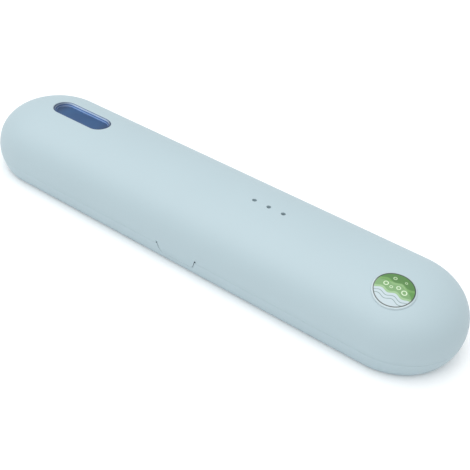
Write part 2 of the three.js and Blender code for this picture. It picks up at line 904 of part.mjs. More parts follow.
function powerButton() {
  const half = buttonHeight / 2;
  const face = sectionPoints(tuck, controlHeight - half, controlHeight + half, tuckSteps);
  const section = polygon([
    ...face.map(([inset, height]) => [endRadius - inset + buttonProud, height]),
    [wingY - buttonWingThickness, controlHeight + half],
    [wingY - buttonWingThickness, controlHeight - half],
  ]);
  const cap = prism("x", section, -buttonWidth / 2, buttonWidth / 2).intersect(
    prism("y", stadium(buttonWidth, buttonHeight, 0, controlHeight), 0, endRadius + overrun),
  );
  const wings = box(
    -buttonWidth / 2 - buttonWing,
    buttonWidth / 2 + buttonWing,
    wingY - buttonWingThickness,
    wingY,
    controlHeight - buttonWingHeight / 2,
    controlHeight + buttonWingHeight / 2,
  );
  const piece = mesh("power_button", finish.paleBlueAbs, join(cap, wings));
  piece.position.x = buttonX;
  return piece;
}

const plungerTip = wingY - buttonWingThickness - gap;

function tactSwitch() {
  const back = plungerTip - plungerReach - switchDepth;
  const body = box(
    -switchWidth / 2,
    switchWidth / 2,
    back,
    back + switchDepth,
    boardTop,
    boardTop + switchHeight,
  );
  const deep = plungerLength - plungerReach + buttonTravel + gap;
  const bore = prism(
    "y",
    disc(plungerRadius + gap, 0, controlHeight),
    back + switchDepth - deep,
    back + switchDepth + overrun,
  );
  const piece = mesh("tact_switch", finish.blackPlastic, cut(body, bore));
  piece.position.x = buttonX;
  return piece;
}

function switchPlunger() {
  const rod = new THREE.CylinderGeometry(plungerRadius, plungerRadius, plungerLength, roundSteps);
  const piece = mesh("switch_plunger", finish.creamNylon, rod);
  piece.position.set(buttonX, plungerTip - plungerLength / 2, controlHeight);
  return piece;
}

// Status light: a clear pipe in the wall, lit from the board
function lightPipe() {
  const back = boardBackY - pipeCollarLength;
  const outer = skinY(controlHeight);
  const length = outer - back;
  const profile = [
    [0, 0],
    [pipeCollarRadius, 0],
    [pipeCollarRadius, pipeCollarLength],
    [pipeRadius, pipeCollarLength],
    [pipeRadius, length - pipeRadius / 4],
    [pipeRadius * Math.cos(Math.PI / 4), length],
    [0, length + pipeRadius / 4],
  ].map(([x, y]) => new THREE.Vector2(x, y));
  const piece = mesh("light_pipe", finish.clearLens, new THREE.LatheGeometry(profile, roundSteps));
  piece.position.set(indicatorX, back, controlHeight);
  return piece;
}

function statusLed() {
  const y = boardBackY - pipeCollarLength - gap - statusLedSize.y / 2;
  return onBoard("status_led", finish.clearLens, statusLedSize, indicatorX, y);
}

// Battery, on its tape
function battery() {
  const outline = roundedBox(batterySize.x, batterySize.y, batteryCorner);
  const piece = mesh("battery", finish.batteryFoil, prism("z", outline, 0, batterySize.z));
  piece.position.set(batteryX, 0, floorThickness + tapeThickness);
  return piece;
}

function batteryTape() {
  const size = {
    x: batterySize.x - 2 * tapeMargin,
    y: batterySize.y - 2 * tapeMargin,
    z: tapeThickness,
  };
  const piece = mesh("battery_tape", finish.foamTape, blockGeometry(size));
  piece.position.set(batteryX, 0, floorThickness + tapeThickness / 2);
  return piece;
}

function batteryPlug() {
  const size = plugSize;
  const piece = mesh("battery_plug", finish.creamNylon, blockGeometry(size));
  piece.position.set(
    socketX + socketSize.x / 2 + gap + size.x / 2,
    socketY,
    boardTop + socketSize.z / 2,
  );
  return piece;
}

function lead(name, material, points) {
  const route = new THREE.CatmullRomCurve3(points.map((p) => new THREE.Vector3(...p)));
  const ring = new THREE.Shape().absarc(0, 0, leadRadius, 0, 2 * Math.PI, false);
  const geometry = new THREE.ExtrudeGeometry(ring, {
    steps: leadSteps * (points.length - 1),
    curveSegments: leadFacets / 2,
    extrudePath: route,
  });
  return mesh(name, material, solidOf(geometry));
}

// Leads from the plug to the battery, and from the board to the lamps
function batteryLeads() {
  const plugEnd = socketX + socketSize.x / 2 + gap + plugSize.x + gap;
  const batteryEnd = batteryX - batterySize.x / 2 - gap;
  const high = boardTop + socketSize.z / 2;
  const low = floorThickness + tapeThickness + batterySize.z / 2;
  const run = batteryEnd - plugEnd;
  return [
    ["battery_lead_red", finish.redLead, leadSpacing / 2],
    ["battery_lead_black", finish.blackLead, -leadSpacing / 2],
  ].map(([name, material, side]) => {
    const [plugY, batteryY] = [socketY + side, 2 * side];
    const [first, middle, last] = leadBendShares.map((share) => plugEnd + run * share);
    return lead(name, material, [
      [plugEnd, plugY, high],
      [first, plugY, high],
      [middle, (plugY + batteryY) / 2, (high + low) / 2],
      [last, batteryY, low],
      [batteryEnd, batteryY, low],
    ]);
  });
}

function lampLeads() {
  const high = trayHeight - gap - 2 * leadRadius;
  const boardY = boardFrontY + leadSpacing;
  const lampY = lampBoardWidth / 2 - leadSpacing / 2;
  const x = lampBoardX + lampPitch / 2;
  return [
    ["lamp_lead_red", finish.redLead, leadSpacing / 2],
    ["lamp_lead_black", finish.blackLead, -leadSpacing / 2],
  ].map(([name, material, side]) =>
    lead(name, material, [
      [x + side, boardY, boardTop + gap],
      [x + side, boardY, high - leadSpacing / 2],
      [x + side, boardY - leadSpacing, high],
      [x + side, lampY + leadSpacing / 2, high],
      [x + side, lampY, lampBoardTop + gap],
    ]),
  );
}

// Screws: a round head with a cross drive over a plain shank
function screw(name, { radius, length, headRadius, headHeight }, x, y, seat) {
  const profile = [
    [0, -length],
    [radius / 2, -length],
    [radius, -length + radius],
    [radius, 0],
    [headRadius, 0],
    [headRadius, headHeight / 2],
    [headRadius - headHeight / 2, headHeight],
    [0, headHeight],
  ].map(([u, v]) => new THREE.Vector2(u, v));
  const turned = new THREE.LatheGeometry(profile, roundSteps / 2).rotateX(Math.PI / 2);
  const [arm, half] = [headRadius - headHeight / 2, driveWidth / 2];
  const bottom = headHeight - driveDepth;
  const top = headHeight + overrun;
  const solid = cut(
    solidOf(turned),
    box(-arm, arm, -half, half, bottom, top),
    box(-half, half, -arm, arm, bottom, top),
  );
  const piece = mesh(name, finish.steel, solid);
  piece.position.set(x, y, seat);
  return piece;
}

function hingePin(name, x) {
  const length = 2 * (knuckleOffset + baseKnuckle / 2) - 2 * gap;
  const rod = new THREE.CylinderGeometry(pinRadius, pinRadius, length, roundSteps);
  const piece = mesh(name, finish.steel, rod);
  piece.rotation.z = Math.PI / 2;
  piece.position.set(x, hingeY, seamHeight);
  return piece;
}

function magnet() {
  const disk = new THREE.CylinderGeometry(magnetRadius, magnetRadius, magnetHeight, roundSteps);
  const piece = mesh("lid_magnet", finish.steel, disk);
  piece.rotation.x = Math.PI / 2;
  piece.position.set(hallX, hallY, lapTop + magnetHeight / 2);
  return piece;
}

function uvLens() {
  const outline = roundedBox(uvLensLength, uvLensWidth, restCorner - gap);
  const plate = prism("z", outline, 0, uvLensThickness);
  const piece = mesh("uv_lens", finish.clearLens, plate);
  piece.position.set(lampBoardX, 0, deckTop - uvLensThickness);
  return piece;
}

// Assembly
const lid = new THREE.Group();
lid.add(mesh("lid_shell", finish.paleBlueAbs, lidShell()));
lid.add(windowLens());
lid.add(magnet());
lid.add(mesh("sticker", finish.stickerResin, sticker()));

const button = new THREE.Group();
button.add(powerButton());
button.add(switchPlunger());

const electronics = new THREE.Group();
electronics.add(mainBoard(), usbPort(), tactSwitch(), statusLed(), lightPipe());
electronics.add(onBoard("hall_sensor", finish.blackPlastic, hallSize, hallX, hallY));
electronics.add(onBoard("control_chip", finish.blackPlastic, chipSize, chipX, chipY));
electronics.add(onBoard("battery_socket", finish.creamNylon, socketSize, socketX, socketY));
electronics.add(batteryPlug(), battery(), batteryTape(), ...batteryLeads());
electronics.add(lampBoard(), ...lamps(), ...lampLeads());

const base = new THREE.Group();
base.add(mesh("base_shell", finish.paleBlueAbs, baseShell()));
base.add(mesh("inner_tray", finish.whiteAbs, tray()));
base.add(uvLens());
base.add(...restList.map(brushRest));
base.add(hingePin("hinge_pin_left", hingeStations[0]));
base.add(hingePin("hinge_pin_right", hingeStations[1]));
base.add(...trayScrewPlaces.map(([name, x, y]) => screw(name, trayScrew, x, y, deckTop)));
base.add(...boardScrewPlaces.map(([name, x, y]) => screw(name, boardScrew, x, y, boardTop)));
base.add(electronics);

const sterilizerCase = new THREE.Group();
sterilizerCase.add(base, lid, button);

export default sterilizerCase;
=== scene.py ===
# A UV toothbrush sterilizer case: satin pale blue ABS shells, a tinted window and a domed sticker,
# dressed over the CAD frame. Lengths are metres, written as millimetres times MM.
import math

import bmesh
import bpy
from mathutils import Matrix, Vector
from mathutils.kdtree import KDTree


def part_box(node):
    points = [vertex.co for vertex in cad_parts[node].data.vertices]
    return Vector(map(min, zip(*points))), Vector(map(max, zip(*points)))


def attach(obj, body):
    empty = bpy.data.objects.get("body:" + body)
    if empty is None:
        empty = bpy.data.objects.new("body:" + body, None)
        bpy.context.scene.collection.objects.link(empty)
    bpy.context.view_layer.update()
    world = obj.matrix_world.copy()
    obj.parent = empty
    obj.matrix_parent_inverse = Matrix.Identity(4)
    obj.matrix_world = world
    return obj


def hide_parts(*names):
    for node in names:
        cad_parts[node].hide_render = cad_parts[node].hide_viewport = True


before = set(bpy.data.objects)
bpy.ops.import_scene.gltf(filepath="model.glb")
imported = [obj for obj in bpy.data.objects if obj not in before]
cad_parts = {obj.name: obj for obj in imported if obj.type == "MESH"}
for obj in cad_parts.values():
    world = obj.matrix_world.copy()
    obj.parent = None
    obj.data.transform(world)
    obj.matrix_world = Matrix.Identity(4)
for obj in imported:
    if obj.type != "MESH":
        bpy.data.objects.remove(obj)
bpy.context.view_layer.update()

MM = 0.001
MERGE = 1e-4 * MM

# Case outline: a stadium seen from above, widest at the belt line
LENGTH = 220 * MM
WIDTH = 52 * MM
HEIGHT = 28 * MM
BELT = 10 * MM
SEAM = 8.2 * MM
TUCK = 4 * MM
WALL = 2 * MM
FLOOR = 2 * MM
GAP = 0.3 * MM
OVERRUN = 1 * MM
# Bosses and pads rise from inside the floor, and the pads on a wall start inside the wall.
ROOT_HEIGHT = FLOOR / 2
ROOT_DEPTH = WALL / 4
LIP = 1.6 * MM
END_RADIUS = WIDTH / 2
END_CENTRE = LENGTH / 2 - END_RADIUS

# Handles of the two curves of the cross-section, as shares of their height and width
DOME_SIDE_SHARE = 0.88
DOME_TOP_SHARE = 0.3
TUCK_BOTTOM_SHARE = 0.35
TUCK_SIDE_SHARE = 0.45

# Moulded edges
SEAM_EDGE = 0.14 * MM
LAP_EDGE = 0.2 * MM
SLOT_EDGE = 0.3 * MM
VENT_EDGE = 0.15 * MM
WALL_HOLE_EDGE = 0.25 * MM
# A flare stops short of its quarter turn, so that its cutter crosses the surface at an angle.
FLARE_SHARE = 0.93

# Facet counts
ARC_STEPS = 96
STRAIGHT_STEPS = 28
CURVE_STEPS = 40
FLOOR_STEPS = 20
PAD_STEPS = 12
BELT_STEPS = 4
EDGE_STEPS = 5
ROUND_STEPS = 48

# Degrees from which an edge is sharp enough to be bevelled, or to be shaded as a crease
BEVEL_ANGLE = 40
CREASE_ANGLE = 32
SHARP_CREASE_ANGLE = 40
REST_CREASE_ANGLE = 50
ROUND_CREASE_ANGLE = 60


# Meshes and objects

def place(name, mesh):
    obj = bpy.data.objects.new(name, mesh)
    bpy.context.scene.collection.objects.link(obj)
    return obj


def skin(rings, loop=False, capped=True):
    """A closed mesh over rings of equal length, with the points that meet merged into one."""
    mesh = bpy.data.meshes.new("skin")
    made = bmesh.new()
    rows = [[made.verts.new(point) for point in ring] for ring in rings]
    count = len(rows[0])
    pairs = list(zip(rows, rows[1:])) + ([(rows[-1], rows[0])] if loop else [])
    for low, high in pairs:
        for i in range(count):
            j = (i + 1) % count
            made.faces.new((low[i], low[j], high[j], high[i]))
    if capped and not loop:
        made.faces.new(rows[0][::-1])
        made.faces.new(rows[-1])
    bmesh.ops.remove_doubles(made, verts=made.verts, dist=MERGE)
    bmesh.ops.dissolve_degenerate(made, edges=made.edges, dist=MERGE)
    bmesh.ops.recalc_face_normals(made, faces=made.faces)
    made.to_mesh(mesh)
    made.free()
    return mesh


def settle(obj):
    """Turns what an object's modifiers make into its own mesh."""
    bpy.context.view_layer.update()
    made = bpy.data.meshes.new_from_object(obj.evaluated_get(bpy.context.evaluated_depsgraph_get()))
    old = obj.data
    obj.modifiers.clear()
    obj.data = made
    if isinstance(old, bpy.types.Mesh):
        bpy.data.meshes.remove(old)
    return obj


def combine(obj, operation, tools):
    """Joins the tools to the object or cuts them from it, and removes them."""
    for tool in tools:
        modifier = obj.modifiers.new("combine", "BOOLEAN")
        modifier.operation = operation
        modifier.solver = "MANIFOLD"
        modifier.object = tool
    settle(obj)
    for tool in tools:
        bpy.data.objects.remove(tool)
    return obj


def bevel(obj, width, segments=2, angle=BEVEL_ANGLE):
    modifier = obj.modifiers.new("edge", "BEVEL")
    modifier.width = width
    modifier.segments = segments
    modifier.limit_method = "ANGLE"
    modifier.angle_limit = math.radians(angle)
    return settle(obj)


def smooth(obj, angle=CREASE_ANGLE):
    """Shades an object smooth, with its sharper edges kept."""
    obj.data.shade_smooth()
    obj.data.set_sharp_from_angle(angle=math.radians(angle))
    return obj


# Nodes of materials and of Geometry Nodes trees

def add(tree, kind, inputs=None, **settings):
    """Adds a node with its settings, its inputs' values and the links into it.

    Another node that is given as a value is linked by the first of its outputs that is in use.
    """
    made = tree.nodes.new(kind)
    for key, value in settings.items():
        setattr(made, key, value)
    for key, value in (inputs or {}).items():
        if isinstance(value, bpy.types.Node):
            value = next(output for output in value.outputs if output.enabled)
        if isinstance(value, bpy.types.NodeSocket):
            tree.links.new(value, made.inputs[key])
        else:
            made.inputs[key].default_value = value
    return made


def open_tree(name, *sizes):
    """A Geometry Nodes tree with its named inputs, and the sockets that give them."""
    tree = bpy.data.node_groups.new(name, "GeometryNodeTree")
    for label, kind in [("Shape", "Geometry"), *sizes, ("Finish", "Material")]:
        tree.interface.new_socket(label, in_out="INPUT", socket_type="NodeSocket" + kind)
    tree.interface.new_socket("Shape", in_out="OUTPUT", socket_type="NodeSocketGeometry")
    return tree, tree.nodes.new("NodeGroupInput").outputs


def close_tree(tree, given, shape):
    real = add(tree, "GeometryNodeRealizeInstances", {"Geometry": shape})
    dressed = add(tree, "GeometryNodeSetMaterial", {"Geometry": real, "Material": given["Finish"]})
    add(tree, "NodeGroupOutput", {"Shape": dressed})
    return tree


def grow(obj, tree, finish=None, **sizes):
    """Runs a tree on an object with its named sizes, and keeps the result as a plain mesh."""
    modifier = obj.modifiers.new("grow", "NODES")
    modifier.node_group = tree
    given = {label.replace("_", " ").capitalize(): size for label, size in sizes.items()}
    given["Finish"] = finish
    for socket in tree.interface.items_tree:
        if socket.in_out == "INPUT" and given.get(socket.name) is not None:
            modifier[socket.identifier] = given[socket.name]
    settle(obj)
    if finish and not obj.data.materials[0]:
        obj.data.materials.pop(index=0)
    return obj


def case_tree():
    """Carries a section round the stadium outline: the rule that shapes both shells and the tray.

    The shape that comes in is the section, a row of points at (inset, 0, height). Each column of a
    grid stands at one place of the outline: along an arc first, then back along a straight side.
    """
    tree, given = open_tree(
        "carry_section_round_case",
        ("End radius", "Float"),
        ("End centre", "Float"),
        ("Arc steps", "Int"),
        ("Straight steps", "Int"),
    )
    rows = add(tree, "GeometryNodeAttributeDomainSize", {"Geometry": given["Shape"]}, component="MESH")
    steps = {0: given["Arc steps"], 1: given["Straight steps"]}
    half = add(tree, "ShaderNodeMath", steps, operation="ADD")
    columns = add(tree, "ShaderNodeMath", {0: half, 1: 2.0, 2: 1.0}, operation="MULTIPLY_ADD")
    grid = add(tree, "GeometryNodeMeshGrid", {"Vertices X": columns, "Vertices Y": rows})
    index = add(tree, "GeometryNodeInputIndex")
    column_run = add(tree, "ShaderNodeMath", {0: index, 1: rows}, operation="DIVIDE")
    column = add(tree, "ShaderNodeMath", {0: column_run}, operation="FLOOR")
    row = add(tree, "ShaderNodeMath", {0: index, 1: rows}, operation="FLOORED_MODULO")
    place_in = add(tree, "GeometryNodeInputPosition")
    sampled = {"Geometry": given["Shape"], "Value": place_in, "Index": row}
    point = add(tree, "GeometryNodeSampleIndex", sampled, data_type="FLOAT_VECTOR")
    section = add(tree, "ShaderNodeSeparateXYZ", {"Vector": point}).outputs
    reach = add(tree, "ShaderNodeMath", {0: given["End radius"], 1: section["X"]}, operation="SUBTRACT")
    station = add(tree, "ShaderNodeMath", {0: column, 1: half}, operation="FLOORED_MODULO")
    angle = add(tree, "ShaderNodeMapRange", {
        "Value": station,
        "From Max": given["Arc steps"],
        "To Min": -math.pi / 2,
        "To Max": math.pi / 2,
    })
    far_centre = add(tree, "ShaderNodeMath", {0: given["End centre"], 1: -1.0}, operation="MULTIPLY")
    along = add(tree, "ShaderNodeMapRange", {
        "Value": station,
        "From Min": given["Arc steps"],
        "From Max": half,
        "To Min": given["End centre"],
        "To Max": far_centre,
    })
    spoke = add(tree, "ShaderNodeCombineXYZ", {"X": reach, "Z": section["Z"]})
    swung = add(tree, "ShaderNodeVectorRotate", {"Vector": spoke, "Angle": angle})
    shift = add(tree, "ShaderNodeCombineXYZ", {"X": along})
    moved = add(tree, "ShaderNodeVectorMath", {0: swung, 1: shift}, operation="ADD")
    side_run = add(tree, "ShaderNodeMath", {0: column, 1: half}, operation="DIVIDE")
    side = add(tree, "ShaderNodeMath", {0: side_run}, operation="FLOOR")
    half_turns = add(tree, "ShaderNodeMath", {0: side, 1: math.pi}, operation="MULTIPLY")
    spot = add(tree, "ShaderNodeVectorRotate", {"Vector": moved, "Angle": half_turns})
    bent = add(tree, "GeometryNodeSetPosition", {"Geometry": grid, "Position": spot})
    closed = add(tree, "GeometryNodeMergeByDistance", {"Geometry": bent, "Distance": MERGE})
    return close_tree(tree, given, closed)


def row_tree():
    """Repeats a shape in a straight row."""
    tree, given = open_tree("repeat_in_row", ("Count", "Int"), ("Spacing", "Vector"))
    line = add(tree, "GeometryNodeMeshLine", {"Count": given["Count"], "Offset": given["Spacing"]})
    copies = add(tree, "GeometryNodeInstanceOnPoints", {"Points": line, "Instance": given["Shape"]})
    return close_tree(tree, given, copies)


def places_tree():
    """Sets a copy of one piece at each point of the shape that comes in."""
    tree, given = open_tree("set_at_places", ("Piece", "Object"))
    pattern = add(tree, "GeometryNodeObjectInfo", {"Object": given["Piece"], "As Instance": True})
    chosen = {"Points": given["Shape"], "Instance": pattern.outputs["Geometry"]}
    return close_tree(tree, given, add(tree, "GeometryNodeInstanceOnPoints", chosen))


def lead_tree():
    """Runs a round insulated lead along a route of points."""
    sizes = ("Radius", "Float"), ("Facets", "Int"), ("Stations", "Int")
    tree, given = open_tree("run_lead_along_route", *sizes)
    route = add(tree, "GeometryNodeMeshToCurve", {"Mesh": given["Shape"]})
    bent = add(tree, "GeometryNodeCurveSplineType", {"Curve": route}, spline_type="CATMULL_ROM")
    even = add(tree, "GeometryNodeResampleCurve", {"Curve": bent, "Count": given["Stations"]})
    round_size = {"Resolution": given["Facets"], "Radius": given["Radius"]}
    ring = add(tree, "GeometryNodeCurvePrimitiveCircle", round_size)
    swept = {"Curve": even, "Profile Curve": ring, "Fill Caps": True}
    tube = add(tree, "GeometryNodeCurveToMesh", swept)
    return close_tree(tree, given, add(tree, "GeometryNodeSetShadeSmooth", {"Geometry": tube}))


def points(places, joined=False):
    """An object of bare points, joined in a line or not."""
    mesh = bpy.data.meshes.new("points")
    edges = [(i, i + 1) for i in range(len(places) - 1)] if joined else []
    mesh.from_pydata(places, edges, [])
    return place("points", mesh)


CASE_TREE = case_tree()
ROW_TREE = row_tree()
PLACES_TREE = places_tree()
LEAD_TREE = lead_tree()


def at_seats(piece, seats, finish):
    """A copy of a piece at each of its seats, all in one object."""
    made = grow(points(seats), PLACES_TREE, finish, piece=piece)
    bpy.data.objects.remove(piece)
    return made


# Outlines, as lists of points in a plane

def arc(u, v, radius, start, end, steps=None):
    steps = steps or max(2, math.ceil(ROUND_STEPS * abs(end - start) / 360))
    angles = [math.radians(start + (end - start) * i / steps) for i in range(steps + 1)]
    return [(u + radius * math.cos(a), v + radius * math.sin(a)) for a in angles]


def disc(radius, u=0, v=0):
    return arc(u, v, radius, 0, 360)[1:]


def stadium(length, width, u=0, v=0, spread=0):
    half = (length - width) / 2
    radius = width / 2 + spread
    return arc(u + half, v, radius, -90, 90) + arc(u - half, v, radius, 90, 270)


def rounded_box(length, width, corner, u=0, v=0):
    a, b = length / 2 - corner, width / 2 - corner
    return (
        arc(u + a, v - b, corner, -90, 0)
        + arc(u + a, v + b, corner, 0, 90)
        + arc(u - a, v + b, corner, 90, 180)
        + arc(u - a, v - b, corner, 180, 270)
    )


def soften(corners):
    """A line through (u, v, radius) corners, each rounded by a short curve."""
    line = []
    for i, (u, v, radius) in enumerate(corners):
        here = Vector((u, v))
        if not radius:
            line.append((u, v))
            continue
        before = (Vector(corners[i - 1][:2]) - here).normalized() * radius
        after = (Vector(corners[(i + 1) % len(corners)][:2]) - here).normalized() * radius
        for k in range(EDGE_STEPS + 1):
            t = k / EDGE_STEPS
            point = here + before * (1 - t) ** 2 + after * t ** 2
            line.append((point.x, point.y))
    return line


AXES = {
    "x": lambda u, v, w: (w, u, v),
    "y": lambda u, v, w: (u, w, v),
    "z": lambda u, v, w: (u, v, w),
}


def layered(axis, layers):
    """Layers of points (u, v, w), with w along the axis, closed at both ends."""
    at = AXES[axis]
    return place("layered", skin([[at(*point) for point in layer] for layer in layers]))


def stack(axis, layers):
    """Outlines of equal length at their places along an axis."""
    return layered(axis, [[(u, v, w) for u, v in outline] for outline, w in layers])


def from_both_ends(axis, layers, low, high):
    """Outlines at their depths behind the low end, and the same again behind the high end."""
    near = [(outline, low + depth) for outline, depth in layers]
    far = [(outline, high - depth) for outline, depth in reversed(layers)]
    return stack(axis, near + far)


def prism(axis, outline, low, high):
    return stack(axis, [(outline, low), (outline, high)])


def block(low, high):
    corners = [(low[0], low[1]), (high[0], low[1]), (high[0], high[1]), (low[0], high[1])]
    return prism("z", corners, low[2], high[2])


def turned(profile, centre, axis="z"):
    """A profile of radii and heights turned round an axis through a point."""
    angles = [math.radians(360 * i / ROUND_STEPS) for i in range(ROUND_STEPS)]
    made = layered(axis, [[(r * math.cos(a), r * math.sin(a), h) for a in angles] for r, h in profile])
    made.data.transform(Matrix.Translation(centre))
    return made


def rod(radius, low, high, edge, centre, axis="z"):
    """A round rod with chamfered ends."""
    profile = [(radius - edge, low), (radius, low + edge), (radius, high - edge), (radius - edge, high)]
    return turned(profile, centre, axis)


def quarter_turn(share=1):
    """The steps of a rounded edge, as shares of its size: how far out, and how far from its end."""
    turns = [math.radians(90 * share * k / EDGE_STEPS) for k in range(EDGE_STEPS + 1)]
    return [(1 - math.cos(turn), 1 - math.sin(turn)) for turn in turns]


# Cross-section of the case, as insets from the outline and heights

def cubic(*handles):
    def at(t):
        s = 1 - t
        weights = (s ** 3, 3 * s * s * t, 3 * s * t * t, t ** 3)
        return tuple(sum(w * p[k] for w, p in zip(weights, handles)) for k in (0, 1))
    return at


def tuck(depth=0):
    """The curve from the foot up to the belt line, at a depth under the skin."""
    return cubic(
        (TUCK + depth, 0),
        (TUCK * (1 - TUCK_BOTTOM_SHARE) + depth, 0),
        (depth, BELT * (1 - TUCK_SIDE_SHARE)),
        (depth, BELT),
    )


def dome(depth=0):
    """The curve from the belt line up to the crown, at a depth under the skin."""
    rise = HEIGHT - BELT - depth
    reach = END_RADIUS - depth
    return cubic(
        (depth, BELT),
        (depth, BELT + rise * DOME_SIDE_SHARE),
        (END_RADIUS - reach * DOME_TOP_SHARE, BELT + rise),
        (END_RADIUS, BELT + rise),
    )


HALVINGS = 40


def run_at(curve, k, value):
    """The share of a rising curve's run at which its inset (0) or its height (1) reaches a value."""
    low, high = 0, 1
    for _ in range(HALVINGS):
        half = (low + high) / 2
        if curve(half)[k] < value:
            low = half
        else:
            high = half
    return (low + high) / 2


def inset_at(curve, height):
    return curve(run_at(curve, 1, height))[0]


def stretch(curve, low, high, steps=CURVE_STEPS):
    start, end = run_at(curve, 1, low), run_at(curve, 1, high)
    return [curve(start + (end - start) * i / steps) for i in range(steps + 1)]


SEAM_INSET = inset_at(tuck(), SEAM)
SKIRT_INSET = SEAM_INSET + (WALL - GAP) / 2
LIP_TOP = SEAM + LIP
LAP_TOP = LIP_TOP + GAP


def plain(points):
    return [(inset, height, 0) for inset, height in points]


def around_case(section):
    """A section, listed up the outside and down the inside, carried round the stadium outline."""
    return grow(
        points([(inset, 0, height) for inset, height in section]),
        CASE_TREE,
        end_radius=END_RADIUS,
        end_centre=END_CENTRE,
        arc_steps=ARC_STEPS,
        straight_steps=STRAIGHT_STEPS,
    )


def middle_line(x, y):
    """The nearest point on the middle line, and how far inside the outline a place lies."""
    near = Vector((max(-END_CENTRE, min(END_CENTRE, x)), 0))
    return near, END_RADIUS - (Vector((x, y)) - near).length


def dome_height(x, y):
    curve = dome()
    return curve(run_at(curve, 0, middle_line(x, y)[1]))[1]


class Skin:
    """The case's curved surfaces, to shade what lies on them by their own normals.

    A corner takes a surface's normal where it lies within reach of it and its face leans no further
    than a few degrees. Nearer to the middle line than the apex, where no way leads outwards, the
    normal is upright.
    """

    samples = 3000
    reach = 0.03 * MM
    apex = 0.003 * MM
    lean = math.cos(math.radians(6))

    def __init__(self, curves):
        self.normals = []
        points = []
        for curve in curves:
            for i in range(self.samples):
                t = (i + 0.5) / self.samples
                step = 0.5 / self.samples
                before, after = Vector(curve(t - step)), Vector(curve(t + step))
                along = (after - before).normalized()
                points.append(curve(t))
                self.normals.append((along.y, along.x))
        self.tree = KDTree(len(points))
        for i, (inset, height) in enumerate(points):
            self.tree.insert((inset, height, 0), i)
        self.tree.balance()

    def normal(self, co):
        near, inset = middle_line(co.x, co.y)
        _, index, distance = self.tree.find((inset, co.z, 0))
        if distance > self.reach:
            return None
        out, up = self.normals[index]
        away = co.xy - near
        away = away.normalized() if away.length > self.apex else Vector((0, 0))
        return Vector((away.x * out, away.y * out, up)).normalized()

    def shade(self, obj):
        smooth(obj)
        mesh = obj.data
        at = [self.normal(v.co) for v in mesh.vertices]
        kept = [Vector(n.vector) for n in mesh.corner_normals]
        for face in mesh.polygons:
            found = [at[v] for v in face.vertices]
            if any(n is None for n in found):
                continue
            for loop, normal in zip(face.loop_indices, found):
                lean = normal.dot(face.normal)
                if abs(lean) > self.lean:
                    kept[loop] = normal if lean > 0 else -normal
        mesh.normals_split_custom_set(kept)
        return obj


case_skin = Skin([tuck(), dome(), tuck(WALL), dome(WALL)])


# Holes whose mouth has a rounded edge that follows the surface

def flared(axis, outline, surface, edge, deep, out):
    """A cutter with its outline(spread), flared to meet the surface(u, v) in a rounded edge."""
    layers = [[(u, v, deep) for u, v in outline(0)]]
    for out_share, left_share in quarter_turn(FLARE_SHARE):
        spread, depth = edge * out_share, edge * left_share
        layers.append([(u, v, surface(u, v) - depth) for u, v in outline(spread)])
    layers.append([(u, v, out) for u, v in outline(spread)])
    return layered(axis, layers)


def back_wall(u, v):
    return END_RADIUS - inset_at(tuck(), v)


def middle(node):
    low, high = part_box(node)
    return (low + high) / 2


# Places and sizes shared by the shells and what they carry
window_low, window_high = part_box("window_lens")
WINDOW = middle("window_lens")
WINDOW_LENGTH = 29.4 * MM
WINDOW_WIDTH = 10.6 * MM
WINDOW_PAD_MARGIN = 3 * MM
WINDOW_PAD_LOW = HEIGHT - WALL - 1 * MM
VENTS = [Vector((x * MM, 0)) for x in (18.6, 25.2, 31.8)]
VENT_RADIUS = 0.9 * MM

CLASP_X = 1.7 * MM
TONGUE_TOP_WIDTH = 18.2 * MM
TONGUE_BOTTOM_WIDTH = 15.6 * MM
TONGUE_BOTTOM = SEAM - 3.8 * MM
TONGUE_THICKNESS = 1.2 * MM
TONGUE_CORNER = 1.6 * MM
TONGUE_SIDE_FIT = 0.3 * MM
TONGUE_FOOT_FIT = 0.08 * MM
RELIEF_TOP = SEAM + 1 * MM
RELIEF_WIDTH = 0.9 * MM
BEAD_HEIGHT = 1.2 * MM
BEAD_DEPTH = 0.4 * MM
BEAD_MIDDLE = TONGUE_BOTTOM + 1.2 * MM
CLASP_PAD = 1.6 * MM
CLASP_PAD_HALF = TONGUE_TOP_WIDTH / 2 + 2.4 * MM
CLASP_PAD_INSET = SEAM_INSET + TONGUE_THICKNESS + GAP + CLASP_PAD

pin_low, pin_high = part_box("hinge_pin_left")
HINGE_PINS = ["hinge_pin_left", "hinge_pin_right"]
HINGE_Y = middle("hinge_pin_left").y
HINGE_STATIONS = [middle(pin).x for pin in HINGE_PINS]
BARREL = 2 * MM
PIN = 0.75 * MM
LID_KNUCKLE = 8 * MM
BASE_KNUCKLE = 4 * MM
KNUCKLE_OFFSET = (LID_KNUCKLE + BASE_KNUCKLE) / 2 + GAP
WEB_REACH = 4 * MM
KNUCKLE_EDGE = 0.25 * MM


def front(inset):
    """The place along y, at the middle of the front, that lies so far inside the outline."""
    return inset - END_RADIUS


def tongue_edge(height):
    """Half the tongue's width at a height."""
    share = (height - TONGUE_BOTTOM) / (RELIEF_TOP - TONGUE_BOTTOM)
    return (TONGUE_BOTTOM_WIDTH + (TONGUE_TOP_WIDTH - TONGUE_BOTTOM_WIDTH) * share) / 2


def tongue_outline(top, side_fit=0, foot_fit=0):
    """The clasp tongue seen from the front, with its lower corners rounded."""
    low = TONGUE_BOTTOM - foot_fit
    low_edge, top_edge = tongue_edge(low) + side_fit, tongue_edge(top) + side_fit
    corner = TONGUE_CORNER + side_fit
    return [
        (CLASP_X + u, v)
        for u, v in soften([
            (top_edge, top, 0),
            (-top_edge, top, 0),
            (-low_edge, low, corner),
            (low_edge, low, corner),
        ])
    ]


